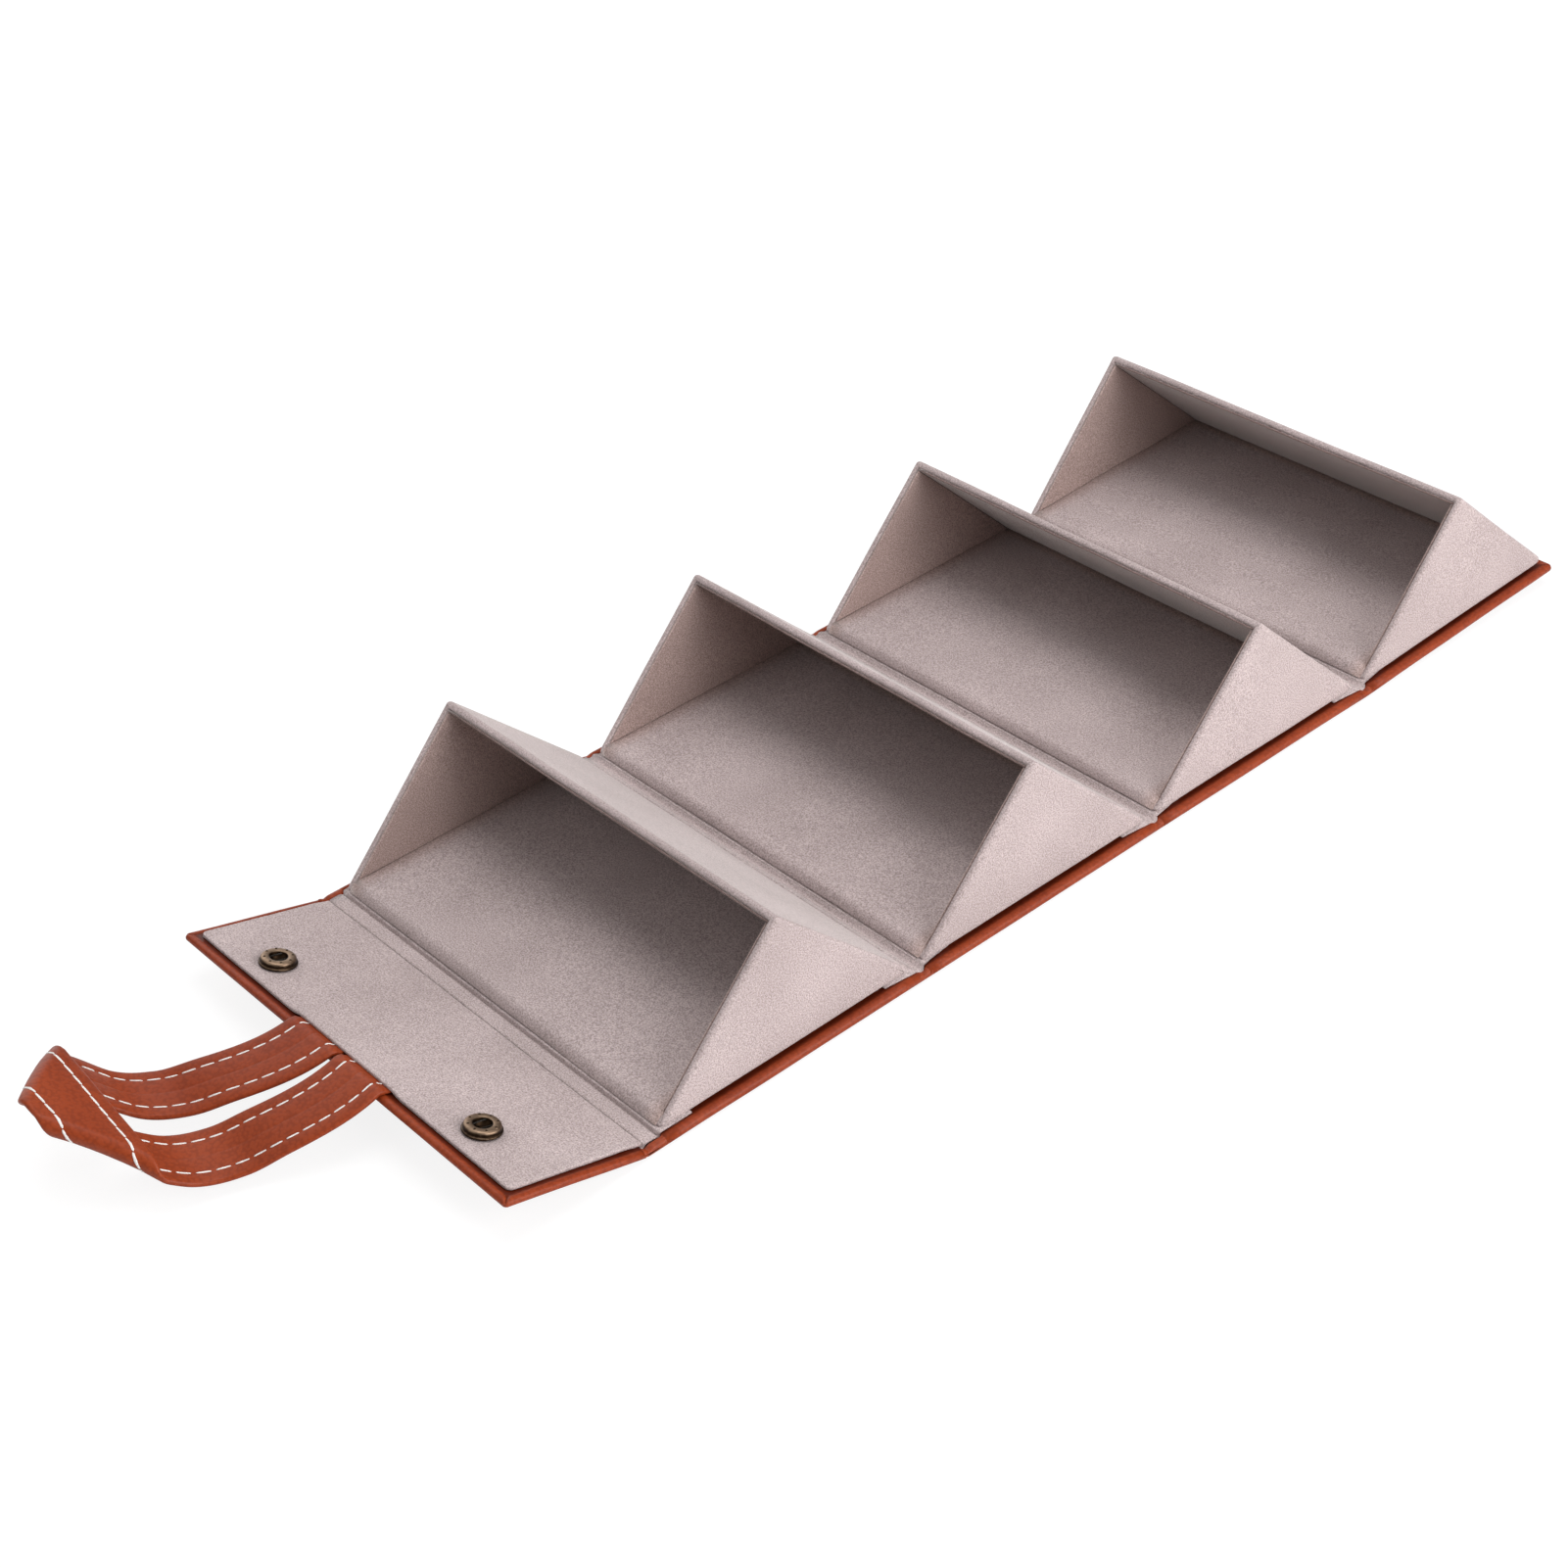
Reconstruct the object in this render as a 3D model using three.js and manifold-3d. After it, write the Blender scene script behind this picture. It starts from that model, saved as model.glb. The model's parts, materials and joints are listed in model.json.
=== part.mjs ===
// Folding storage case for four pairs of sunglasses.
// Four wedge-shaped trays stand in a row on a jointed leather cover. The cover folds a quarter turn
// between neighbours, so the trays roll up into a square block, and a flap with two snap fasteners
// and a looped strap closes it. The model shows the case unrolled, with its flap springing up a little.
// Millimetres. X runs along a tray, Y along the row away from the flap, Z up.
// The origin is under the middle of the first tray, on the surface that the case lies on.

import * as THREE from 'three';
import { mergeVertices } from 'three/addons/utils/BufferGeometryUtils.js';
import Module from 'manifold-3d';

const wasm = await Module();
wasm.setup();

// Row of trays
const TRAY_COUNT = 4;
const COVER_WIDTH = 175;
const TRAY_LEDGE = 3.5;
const TRAY_WIDTH = COVER_WIDTH - 2 * TRAY_LEDGE;
const TRAY_BASE = 102.6;
const HINGE_GAP = 4.6;
const CLOSING_CLEARANCE = 0.4;

// Tray walls: velvet, board, velvet, each glued to the next
const VELVET = 0.45;
const TRAY_BOARD = 1.3;
const GLUE = 0.1;
const TOE_ROUND = 0.6;
const HEEL_ROUND = 1.1;
const RIDGE_ROUND = 0.6;
const TURN_IN = 12;

// Cover: a board in each panel, with the leather wrapped round its edges and turned in as a hem
const LEATHER = 0.7;
const PANEL_BOARD = 1.8;
const HEM = 14;
const EDGE_ROUND = 1.2;
const COVER_CORNER = 1.6;
const PANEL_STEP = 0.3;
const END_MARGIN = 1.8;

// Folds between the panels: leather pressed up into the gap, and a strip of lining laid across it
const LINING = 0.5;
const LINING_UNDER_TRAY = 12;
const LINING_SIDE_MARGIN = 3;
const GROOVE_RISE = 0.5;
const GROOVE_DIP = 1.0;
const STRIP_PLAY = 0.2;

// Flap
const FLAP_LENGTH = 52.8;
const FLAP_BOARD = 1.2;
const FLAP_TILT = THREE.MathUtils.degToRad(16);
const FLAP_LINING = 1.1;
const FLAP_LINING_MARGIN = 3.8;
const FLAP_LINING_CORNER = 2.2;
const FLAP_CLEARANCE = 0.3;
const FLAP_START = 1.2;

// Snap fasteners: socket, spring and cap on the flap, stud and rivet on the last panel
const SNAP_FROM_SIDE = 32.2;
const SNAP_SPREAD = COVER_WIDTH - 2 * SNAP_FROM_SIDE;
const SNAP_FROM_EDGE = 15;
const SOCKET_RADIUS = 6.3;
const SOCKET_HEIGHT = 2.6;
const SOCKET_MOUTH = 2.3;
const SOCKET_PLATE = 0.5;
const SOCKET_LIP = 0.3;
const SPRING_WIRE = 0.5;
const SPRING_GRIP = 3.0;
const STUD_FLANGE_RADIUS = 4.0;
const STUD_FLANGE = 0.4;
const STUD_NECK_RADIUS = 1.25;
const STUD_HEAD_RADIUS = 1.85;
const STUD_TIP_RADIUS = 1.3;
const STUD_HEAD = 0.65;
const STUD_HEIGHT = 2.5;
const STUD_BORE_RADIUS = 0.8;
const RIVET_FLANGE_RADIUS = 4.0;
const RIVET_FLANGE = 0.4;
const CAP_RADIUS = 6.2;
const CAP_DOME = 1.6;
const CAP_POST_RADIUS = 1.5;
const CAP_POST_BORE = 0.9;
const CAP_POST_STAND = 0.4;
const SNAP_PLAY = 0.55;
const HOLE_PLAY = 0.15;

// Strap: one strip of leather whose ends go under the flap's lining side by side. Its far end is turned
// over by two soft diagonal folds, so that the crossing between the legs shows the strip's other face.
const STRAP_WIDTH = 24;
const STRAP_THICKNESS = 2;
const STRAP_END_THICKNESS = 0.6;
const STRAP_END_LENGTH = 18;
const STRAP_LEG_GAP = 1.4;
const STRAP_REACH = 80.7;
const STRAP_CROSSING = 27;
const STRAP_FAR_ROLL = 2.5;
const STRAP_NEAR_ROLL = 2.3;
const STRAP_TURN = THREE.MathUtils.degToRad(5.6);
const STRAP_TWIST = THREE.MathUtils.degToRad(10.5);
const STRAP_LEAN = 29;
const STRAP_STEPS = 170;
const STRAP_STEPS_ACROSS = 4;
// Side view of the legs, chosen by hand: distance out from the flap's edge and height, as shares of the
// strap's reach. The legs droop from the edge and their far end springs up.
const STRAP_SIDE_VIEW = [
  [0, 0], [0.15, -0.036], [0.35, -0.082], [0.5, -0.123],
  [0.65, -0.103], [0.8, 0.008], [0.95, 0.094], [1.125, 0.156],
];

const ROUND_SIDES = 20;
const CURVE_STEPS = 4;

// Angles and levels that follow from the sizes above.
// The trays close into a ring, so each fold turns by an equal share of a full turn,
// and a tray's open face and back slope away from its base by the same angle.
const FOLD = (2 * Math.PI) / TRAY_COUNT;
const SLOPE = (Math.PI - FOLD) / 2;
const PITCH = TRAY_BASE + HINGE_GAP;
const TRAY_WALL = VELVET + GLUE + TRAY_BOARD + GLUE + VELVET;
const COVER = LEATHER + PANEL_BOARD + LEATHER;
const LINING_LEVEL = COVER + GLUE;
const TRAY_LEVEL = LINING_LEVEL + LINING + GLUE;

// A fold's axis lies in the gap at the height that leaves the closing clearance between two trays.
const FOLD_LEVEL = TRAY_LEVEL
  - (HINGE_GAP / 2 * Math.sin(SLOPE) - CLOSING_CLEARANCE / 2) / Math.cos(SLOPE);
const PANEL_SETBACK = HINGE_GAP / 2 - PANEL_STEP;
const ROW_FRONT = -TRAY_BASE / 2;
const frontOfTray = (index) => ROW_FRONT + index * PITCH;
const foldAxis = (index) => frontOfTray(index) + TRAY_BASE + HINGE_GAP / 2;

// The flap turns about the middle of its thickness. Its axis lies so far in front of the first tray
// that the turned-up flap just clears the outside of the last panel.
const FLAP = LEATHER + FLAP_BOARD + LEATHER;
const FLAP_TOP = FLAP / 2;
const FLAP_FACE = FLAP_TOP + GLUE + FLAP_LINING;
const FLAP_AXIS_LEVEL = FLAP / 2;
const RING_CORNER = ROW_FRONT - HINGE_GAP / 2;
const FLAP_REACH = (FOLD_LEVEL + FLAP_CLEARANCE + FLAP_FACE
  + (FLAP_AXIS_LEVEL - FOLD_LEVEL) * Math.cos(FOLD)) / Math.sin(FOLD);
const FLAP_AXIS = RING_CORNER - FLAP_REACH;

// Closed, the flap leans out by the height of the snap fasteners.
const SNAP_ALONG = FLAP_LENGTH - SNAP_FROM_EDGE;
const SNAP_STACK = SOCKET_HEIGHT + STUD_FLANGE + SNAP_PLAY;
const FLAP_LEAN = Math.asin((SNAP_STACK - FLAP_CLEARANCE) / SNAP_ALONG);
const FLAP_CLOSED = FOLD - FLAP_LEAN - FLAP_TILT;

// The studs sit where the closed flap's sockets come to lie on the last panel.
const STUD_FROM_CORNER = FLAP_REACH * Math.cos(FOLD) + (FLAP_AXIS_LEVEL - FOLD_LEVEL) * Math.sin(FOLD)
  + SNAP_ALONG * Math.cos(FLAP_LEAN) + (FLAP_FACE + SOCKET_HEIGHT / 2) * Math.sin(FLAP_LEAN);
const STUD_FROM_FOLD = PITCH - STUD_FROM_CORNER;

// Unrolled, the last panel rests on its studs, which tip it up about its fold.
const STUD_DROP = FOLD_LEVEL + STUD_HEIGHT;
const STUD_TOUCH = STUD_FROM_FOLD - STUD_TIP_RADIUS;
const LAST_TILT = Math.atan2(STUD_DROP, STUD_TOUCH)
  - Math.asin(FOLD_LEVEL / Math.hypot(STUD_DROP, STUD_TOUCH));

const FINISHES = {
  leather: { color: 0xa54b32, roughness: 0.5, metalness: 0 },
  velvet: { color: 0xc4bab6, roughness: 0.95, metalness: 0 },
  board: { color: 0x9a8f80, roughness: 0.9, metalness: 0 },
  brass: { color: 0x6b5a41, roughness: 0.4, metalness: 0.9 },
  steel: { color: 0x8a8a88, roughness: 0.35, metalness: 1 },
};

function solidOf(geometry) {
  const bare = geometry.clone();
  bare.deleteAttribute('normal');
  bare.deleteAttribute('uv');
  const merged = mergeVertices(bare, 1e-4);
  return new wasm.Manifold(new wasm.Mesh({
    numProp: 3,
    vertProperties: new Float32Array(merged.attributes.position.array),
    triVerts: new Uint32Array(merged.index.array),
  }));
}

function geometryOf(solid) {
  const mesh = solid.getMesh();
  const geometry = new THREE.BufferGeometry();
  geometry.setAttribute('position', new THREE.BufferAttribute(mesh.vertProperties, 3));
  geometry.setIndex(new THREE.BufferAttribute(mesh.triVerts, 1));
  geometry.computeVertexNormals();
  return geometry;
}

function cut(geometry, ...tools) {
  return geometryOf(tools.reduce((rest, tool) => rest.subtract(solidOf(tool)), solidOf(geometry)));
}

function join(first, ...others) {
  return geometryOf(others.reduce((all, other) => all.add(solidOf(other)), solidOf(first)));
}

function keep(geometry, region) {
  return geometryOf(solidOf(geometry).intersect(solidOf(region)));
}

function piece(name, geometry, finish) {
  const mesh = new THREE.Mesh(geometry, new THREE.MeshStandardMaterial(FINISHES[finish]));
  mesh.name = name;
  return mesh;
}

function box(x, y, z) {
  const geometry = new THREE.BoxGeometry(x[1] - x[0], y[1] - y[0], z[1] - z[0]);
  return geometry.translate((x[0] + x[1]) / 2, (y[0] + y[1]) / 2, (z[0] + z[1]) / 2);
}

// An outline in the Y-Z plane, drawn out along X
function prism(outline, x) {
  const geometry = new THREE.ExtrudeGeometry(outline, {
    depth: x[1] - x[0],
    bevelEnabled: false,
    curveSegments: CURVE_STEPS,
  });
  const alongX = new THREE.Matrix4().makeBasis(
    new THREE.Vector3(0, 1, 0), new THREE.Vector3(0, 0, 1), new THREE.Vector3(1, 0, 0));
  return geometry.applyMatrix4(alongX).translate(x[0], 0, 0);
}

// A profile of [radius, height] points turned about Z
function revolve(profile) {
  const points = profile.map(([radius, height]) => new THREE.Vector2(radius, height));
  return new THREE.LatheGeometry(points, ROUND_SIDES).rotateX(Math.PI / 2);
}

function rod(radius, z) {
  return revolve([[0, z[0]], [radius, z[0]], [radius, z[1]], [0, z[1]]]);
}

// A closed outline whose corners are rounded, each corner given as a point and a radius
function roundedOutline(corners) {
  const shape = new THREE.Shape();
  corners.forEach(({ point, radius }, index) => {
    const before = corners.at(index - 1).point.clone().sub(point).normalize();
    const after = corners[(index + 1) % corners.length].point.clone().sub(point).normalize();
    const reach = radius / Math.tan(before.angleTo(after) / 2);
    const start = point.clone().addScaledVector(before, reach);
    const end = point.clone().addScaledVector(after, reach);
    if (index === 0) {
      shape.moveTo(start.x, start.y);
    } else {
      shape.lineTo(start.x, start.y);
    }
    shape.quadraticCurveTo(point.x, point.y, end.x, end.y);
  });
  shape.closePath();
  return shape;
}

// The three lines of a tray's section, set in from its outside by some distance:
// each is kept as the normal and offset of a line in the Y-Z plane.
const baseLine = (inset) => [0, 1, inset];
const backLine = (inset) => [Math.sin(SLOPE), Math.cos(SLOPE), TRAY_BASE * Math.sin(SLOPE) - inset];
const openLine = (inset) => [Math.sin(SLOPE), -Math.cos(SLOPE), inset];

function crossing([a, b, c], [d, e, f]) {
  const area = a * e - b * d;
  return new THREE.Vector2((c * e - b * f) / area, (a * f - c * d) / area);
}

// A tray's section with its base and back set in by one distance and its open side by another
function traySection(inset, openInset, rounds = [0, 0, 0]) {
  const lines = [openLine(openInset), baseLine(inset), backLine(inset)];
  return roundedOutline(lines.map((line, index) => ({
    point: crossing(line, lines[(index + 1) % lines.length]),
    radius: Math.max(rounds[index], 0.01),
  })));
}

// One tray: four boards inside a velvet wrap, lined with a second piece of velvet.
// The wrap turns over the rim, and its edges are turned in under the base.
function tray(number) {
  const half = TRAY_WIDTH / 2;
  const boardOut = VELVET + GLUE;
  const boardIn = boardOut + TRAY_BOARD;
  const liningOut = boardIn + GLUE;
  const pastRim = -TRAY_BASE / 4;
  const across = (inset) => [-half + inset, half - inset];
  const name = (part) => `tray_${number}_${part}`;

  const hollow = prism(traySection(TRAY_WALL, pastRim), across(TRAY_WALL));
  const rounds = [TOE_ROUND, HEEL_ROUND, RIDGE_ROUND];
  const innerRounds = rounds.map((radius) => Math.max(radius - VELVET, 0));
  const wrap = cut(
    prism(traySection(0, 0, rounds), across(0)),
    prism(traySection(VELVET, VELVET, innerRounds), across(VELVET)),
    hollow,
    box(across(TURN_IN), [TURN_IN, TRAY_BASE - TURN_IN], [-VELVET, 2 * VELVET]),
  );
  const lining = cut(prism(traySection(liningOut, boardOut), across(liningOut)), hollow);

  const baseFront = crossing(openLine(boardOut), baseLine(boardIn)).x;
  const baseBack = crossing(backLine(boardOut), baseLine(boardIn)).x;
  const base = box(across(boardOut), [baseFront, baseBack], [boardOut, boardIn]);

  const backCorners = [
    crossing(backLine(boardOut), baseLine(liningOut)),
    crossing(backLine(boardOut), openLine(boardOut)),
    crossing(backLine(boardIn), openLine(boardOut)),
    crossing(backLine(boardIn), baseLine(liningOut)),
  ];
  const back = prism(new THREE.Shape(backCorners), across(boardOut));

  const end = new THREE.Shape([
    crossing(openLine(boardOut), baseLine(liningOut)),
    crossing(backLine(liningOut), baseLine(liningOut)),
    crossing(backLine(liningOut), openLine(boardOut)),
  ]);
  const leftEnd = prism(end, [-half + boardOut, -half + boardIn]);
  const rightEnd = prism(end, [half - boardIn, half - boardOut]);

  const group = new THREE.Group();
  group.add(
    piece(name('outer_velvet'), wrap, 'velvet'),
    piece(name('inner_velvet'), lining, 'velvet'),
    piece(name('base_board'), base, 'board'),
    piece(name('back_board'), back, 'board'),
    piece(name('left_end_board'), leftEnd, 'board'),
    piece(name('right_end_board'), rightEnd, 'board'),
  );
  group.position.set(0, frontOfTray(number - 1), TRAY_LEVEL);
  return group;
}

// A flat slab with rounded edges and corners, lying between two levels
function softSlab(width, y, z, cornerRadius, edgeRadius) {
  const sides = [[-1, 0], [1, 0], [1, 1], [-1, 1]];
  const corners = sides.map(([side, end]) => ({
    point: new THREE.Vector2(side * (width / 2 - edgeRadius),
      end ? y[1] - edgeRadius : y[0] + edgeRadius),
    radius: Math.max(cornerRadius - edgeRadius, 0.01),
  }));
  const slab = new THREE.ExtrudeGeometry(roundedOutline(corners), {
    depth: z[1] - z[0] - 2 * edgeRadius,
    bevelThickness: edgeRadius,
    bevelSize: edgeRadius,
    bevelSegments: CURVE_STEPS - 1,
    curveSegments: CURVE_STEPS,
  });
  return slab.translate(0, 0, z[0] + edgeRadius);
}

// A panel of the cover between two ends. A finished end has the leather wrapped round it as at the
// sides; at any other end the leather runs on into a fold. The board is rebated under the hem,
// so that the turned-in leather lies flush with it.
function coverPanel(y, finished, boardThickness) {
  const top = LEATHER + boardThickness + LEATHER;
  const half = COVER_WIDTH / 2;
  const runOn = 2 * COVER_CORNER + EDGE_ROUND;
  const slab = softSlab(
    COVER_WIDTH,
    [finished[0] ? y[0] : y[0] - runOn, finished[1] ? y[1] : y[1] + runOn],
    [0, top], COVER_CORNER, EDGE_ROUND);
  const ends = (inset, open) => [
    finished[0] ? y[0] + inset : y[0] - open,
    finished[1] ? y[1] - inset : y[1] + open,
  ];
  const sides = (inset) => [-half + inset, half - inset];
  const seat = join(
    box(sides(LEATHER), ends(LEATHER, runOn), [LEATHER, top - LEATHER]),
    box(sides(HEM), ends(HEM, runOn), [LEATHER, top + LEATHER]),
  );
  const board = join(
    box(sides(LEATHER + GLUE), ends(LEATHER + GLUE, 0), [LEATHER + GLUE, top - LEATHER - GLUE]),
    box(sides(HEM + GLUE), ends(HEM + GLUE, 0), [LEATHER + GLUE, top]),
  );
  const length = box([-half, half], y, [0, top]);
  return { leather: cut(keep(slab, length), seat), board };
}

// The strip of leather across a fold, pressed up into the gap, and the strip of lining above it.
// Each is one band in the Y-Z plane, whose far half is already turned by the fold's angle at rest.
function band(middle, thickness, axis, restAngle) {
  const centre = new THREE.Vector2(...axis);
  const turned = middle.map(([y, z]) => {
    const point = new THREE.Vector2(y, z);
    const placed = y > axis[0] ? point.rotateAround(centre, restAngle) : point;
    return new THREE.Vector3(placed.x, placed.y, 0);
  });
  const curve = new THREE.CatmullRomCurve3(turned);
  const steps = middle.length * CURVE_STEPS;
  const side = (offset) => curve.getSpacedPoints(steps).map((point, index) => {
    const tangent = curve.getTangentAt(index / steps);
    return new THREE.Vector2(point.x - tangent.y * offset, point.y + tangent.x * offset);
  });
  return new THREE.Shape([...side(-thickness / 2), ...side(thickness / 2).reverse()]);
}

function foldStrips(name, index, restAngle) {
  const axis = [foldAxis(index), FOLD_LEVEL];
  const edge = PANEL_SETBACK - STRIP_PLAY;
  const low = LEATHER / 2;
  const leather = band([
    [axis[0] - edge, low],
    [axis[0] - edge / 3, low + GROOVE_RISE],
    [axis[0] + edge / 3, low + GROOVE_RISE],
    [axis[0] + edge, low],
  ], LEATHER, axis, restAngle);

  const over = LINING_LEVEL + LINING / 2;
  const reach = HINGE_GAP / 2 + LINING_UNDER_TRAY;
  const lip = PANEL_SETBACK - LINING / 2;
  const lining = band([
    [axis[0] - reach, over],
    [axis[0] - PANEL_SETBACK - LINING, over],
    [axis[0] - lip, over],
    [axis[0] - edge / 3, over - GROOVE_DIP],
    [axis[0] + edge / 3, over - GROOVE_DIP],
    [axis[0] + lip, over],
    [axis[0] + PANEL_SETBACK + LINING, over],
    [axis[0] + reach, over],
  ], LINING, axis, restAngle);

  const halfLeather = COVER_WIDTH / 2 - EDGE_ROUND;
  const halfLining = COVER_WIDTH / 2 - LINING_SIDE_MARGIN;
  return [
    piece(`${name}_leather`, prism(leather, [-halfLeather, halfLeather]), 'leather'),
    piece(`${name}_lining`, prism(lining, [-halfLining, halfLining]), 'velvet'),
  ];
}

// The flap's fold is wider: the last panel's edge comes down into it when the case is closed.
function flapStrips() {
  const axis = [FLAP_AXIS, FLAP_AXIS_LEVEL];
  const centre = new THREE.Vector2(...axis);
  const onFlap = (along, height) => new THREE.Vector2(FLAP_AXIS - along, FLAP_AXIS_LEVEL + height)
    .rotateAround(centre, -FLAP_TILT).toArray();
  const panelEdge = ROW_FRONT - PANEL_STEP - STRIP_PLAY;
  const low = LEATHER / 2;
  const leather = band([
    onFlap(FLAP_START - STRIP_PLAY, low - FLAP_TOP),
    [FLAP_AXIS, low + GROOVE_RISE],
    [panelEdge - GROOVE_RISE * 2, low],
    [panelEdge, low],
  ], LEATHER, [Infinity, 0], 0);

  const over = LINING_LEVEL + LINING / 2;
  const floor = LEATHER + GROOVE_RISE + GLUE + LINING / 2;
  const lining = band([
    onFlap(FLAP_START, FLAP_FACE - LINING),
    [FLAP_AXIS + FLAP_START, floor],
    [panelEdge - 2 * FLAP_START, floor],
    [panelEdge - LINING / 2, over],
    [ROW_FRONT + LINING, over],
    [ROW_FRONT + LINING_UNDER_TRAY, over],
  ], LINING, [Infinity, 0], 0);

  const halfLeather = COVER_WIDTH / 2 - EDGE_ROUND;
  const halfLining = COVER_WIDTH / 2 - LINING_SIDE_MARGIN;
  return [
    piece('flap_fold_leather', prism(leather, [-halfLeather, halfLeather]), 'leather'),
    piece('flap_fold_lining', prism(lining, [-halfLining, halfLining]), 'velvet'),
  ];
}

const SNAP_SIDES = [['left', -SNAP_SPREAD / 2], ['right', SNAP_SPREAD / 2]];

// Socket: a plate, a ring wall and a lip, with a groove inside for the spring
function snapSocket() {
  const groove = SOCKET_HEIGHT - SOCKET_LIP;
  const grooveFloor = groove - 1.6 * SPRING_WIRE;
  const grooveRadius = SOCKET_RADIUS - 4 * SOCKET_LIP;
  return revolve([
    [CAP_POST_RADIUS + HOLE_PLAY, 0],
    [SOCKET_RADIUS - SOCKET_LIP, 0],
    [SOCKET_RADIUS, SOCKET_HEIGHT * 0.35],
    [SOCKET_RADIUS - SOCKET_LIP, SOCKET_HEIGHT * 0.7],
    [SOCKET_RADIUS - 3 * SOCKET_LIP, SOCKET_HEIGHT],
    [SOCKET_MOUTH + SOCKET_LIP, SOCKET_HEIGHT],
    [SOCKET_MOUTH, SOCKET_HEIGHT - SOCKET_LIP / 2],
    [SOCKET_MOUTH, groove],
    [grooveRadius, groove],
    [grooveRadius, grooveFloor],
    [SOCKET_MOUTH, grooveFloor],
    [SOCKET_MOUTH, SOCKET_PLATE],
    [CAP_POST_RADIUS + HOLE_PLAY, SOCKET_PLATE],
    [CAP_POST_RADIUS + HOLE_PLAY, 0],
  ]);
}

// Spring: one wire bent into an S, whose two straight legs grip the stud's neck
function snapSpring() {
  const grip = SPRING_GRIP / 2 + SPRING_WIRE / 2;
  const bend = SOCKET_RADIUS - 4 * SOCKET_LIP - SPRING_WIRE;
  const legHalf = Math.sqrt(bend ** 2 - grip ** 2) * 0.92;
  const startAngle = Math.atan2(legHalf, grip);
  const round = [1, 2, 3, 4, 5].map((step) => {
    const angle = startAngle + (step / 6) * Math.PI;
    return new THREE.Vector3(bend * Math.cos(angle), bend * Math.sin(angle), 0);
  });
  const route = new THREE.CatmullRomCurve3([
    new THREE.Vector3(grip, -legHalf, 0),
    new THREE.Vector3(grip, 0, 0),
    new THREE.Vector3(grip, legHalf, 0),
    ...round,
    new THREE.Vector3(-grip, -legHalf, 0),
    new THREE.Vector3(-grip, 0, 0),
    new THREE.Vector3(-grip, legHalf, 0),
  ]);
  const section = new THREE.Shape().absarc(0, 0, SPRING_WIRE / 2, 0, 2 * Math.PI);
  const wire = new THREE.ExtrudeGeometry(section, { steps: 40, extrudePath: route, curveSegments: 4 });
  return wire.translate(0, 0, SOCKET_HEIGHT - SOCKET_LIP - 0.8 * SPRING_WIRE);
}

// Cap: a shallow dome under the leather, with a hollow post through the flap into the socket
function snapCap() {
  const rim = GLUE + CAP_DOME * 0.35;
  const postTop = FLAP + GLUE + FLAP_LINING + GLUE + CAP_POST_STAND;
  return revolve([
    [0, -GLUE - CAP_DOME],
    [CAP_RADIUS * 0.55, -GLUE - CAP_DOME * 0.85],
    [CAP_RADIUS * 0.9, -GLUE - CAP_DOME * 0.45],
    [CAP_RADIUS, -rim],
    [CAP_RADIUS * 0.97, -GLUE],
    [CAP_POST_RADIUS, -GLUE],
    [CAP_POST_RADIUS, postTop],
    [CAP_POST_BORE, postTop],
    [CAP_POST_BORE, -GLUE],
    [0, -GLUE],
  ]);
}

// Stud: a flange against the leather, a narrow neck and a rounded head, bored for its rivet
function snapStud() {
  const boreEnd = STUD_HEIGHT - STUD_HEAD;
  return revolve([
    [STUD_BORE_RADIUS + HOLE_PLAY, -GLUE],
    [STUD_BORE_RADIUS + HOLE_PLAY, -boreEnd],
    [0, -boreEnd],
    [0, -STUD_HEIGHT],
    [STUD_TIP_RADIUS, -STUD_HEIGHT],
    [STUD_HEAD_RADIUS, -STUD_HEIGHT + STUD_HEAD * 0.4],
    [STUD_HEAD_RADIUS, -STUD_HEIGHT + STUD_HEAD * 0.7],
    [STUD_NECK_RADIUS, -STUD_HEIGHT + STUD_HEAD],
    [STUD_NECK_RADIUS, -STUD_FLANGE - STUD_HEAD * 0.2],
    [STUD_NECK_RADIUS + STUD_HEAD * 0.2, -STUD_FLANGE],
    [STUD_FLANGE_RADIUS, -STUD_FLANGE],
    [STUD_FLANGE_RADIUS, -GLUE],
    [STUD_BORE_RADIUS + HOLE_PLAY, -GLUE],
  ]);
}

// Rivet: a flange let into the panel's board, and a pin through to the stud
function studRivet() {
  const pinEnd = GLUE - (STUD_HEIGHT - STUD_HEAD);
  return revolve([
    [0, pinEnd],
    [STUD_BORE_RADIUS, pinEnd],
    [STUD_BORE_RADIUS, COVER - GLUE - RIVET_FLANGE],
    [RIVET_FLANGE_RADIUS, COVER - GLUE - RIVET_FLANGE],
    [RIVET_FLANGE_RADIUS, COVER - GLUE],
    [0, COVER - GLUE],
  ]);
}

// Strap ends: skived thin where they lie under the lining, full thickness on the hem
function strapEnd() {
  const under = FLAP_LINING_MARGIN - STRIP_PLAY;
  const outline = new THREE.Shape([
    new THREE.Vector2(STRAP_END_LENGTH, GLUE / 2),
    new THREE.Vector2(STRAP_END_LENGTH, GLUE / 2 + STRAP_END_THICKNESS),
    new THREE.Vector2(under, GLUE / 2 + STRAP_END_THICKNESS),
    new THREE.Vector2(under - STRAP_THICKNESS / 2, GLUE / 2 + STRAP_THICKNESS),
    new THREE.Vector2(0, GLUE / 2 + STRAP_THICKNESS),
    new THREE.Vector2(0, GLUE / 2),
  ]);
  return prism(outline, [-STRAP_WIDTH / 2, STRAP_WIDTH / 2]);
}

const LEG_OFFSET = (STRAP_WIDTH + STRAP_LEG_GAP) / 2;

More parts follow.
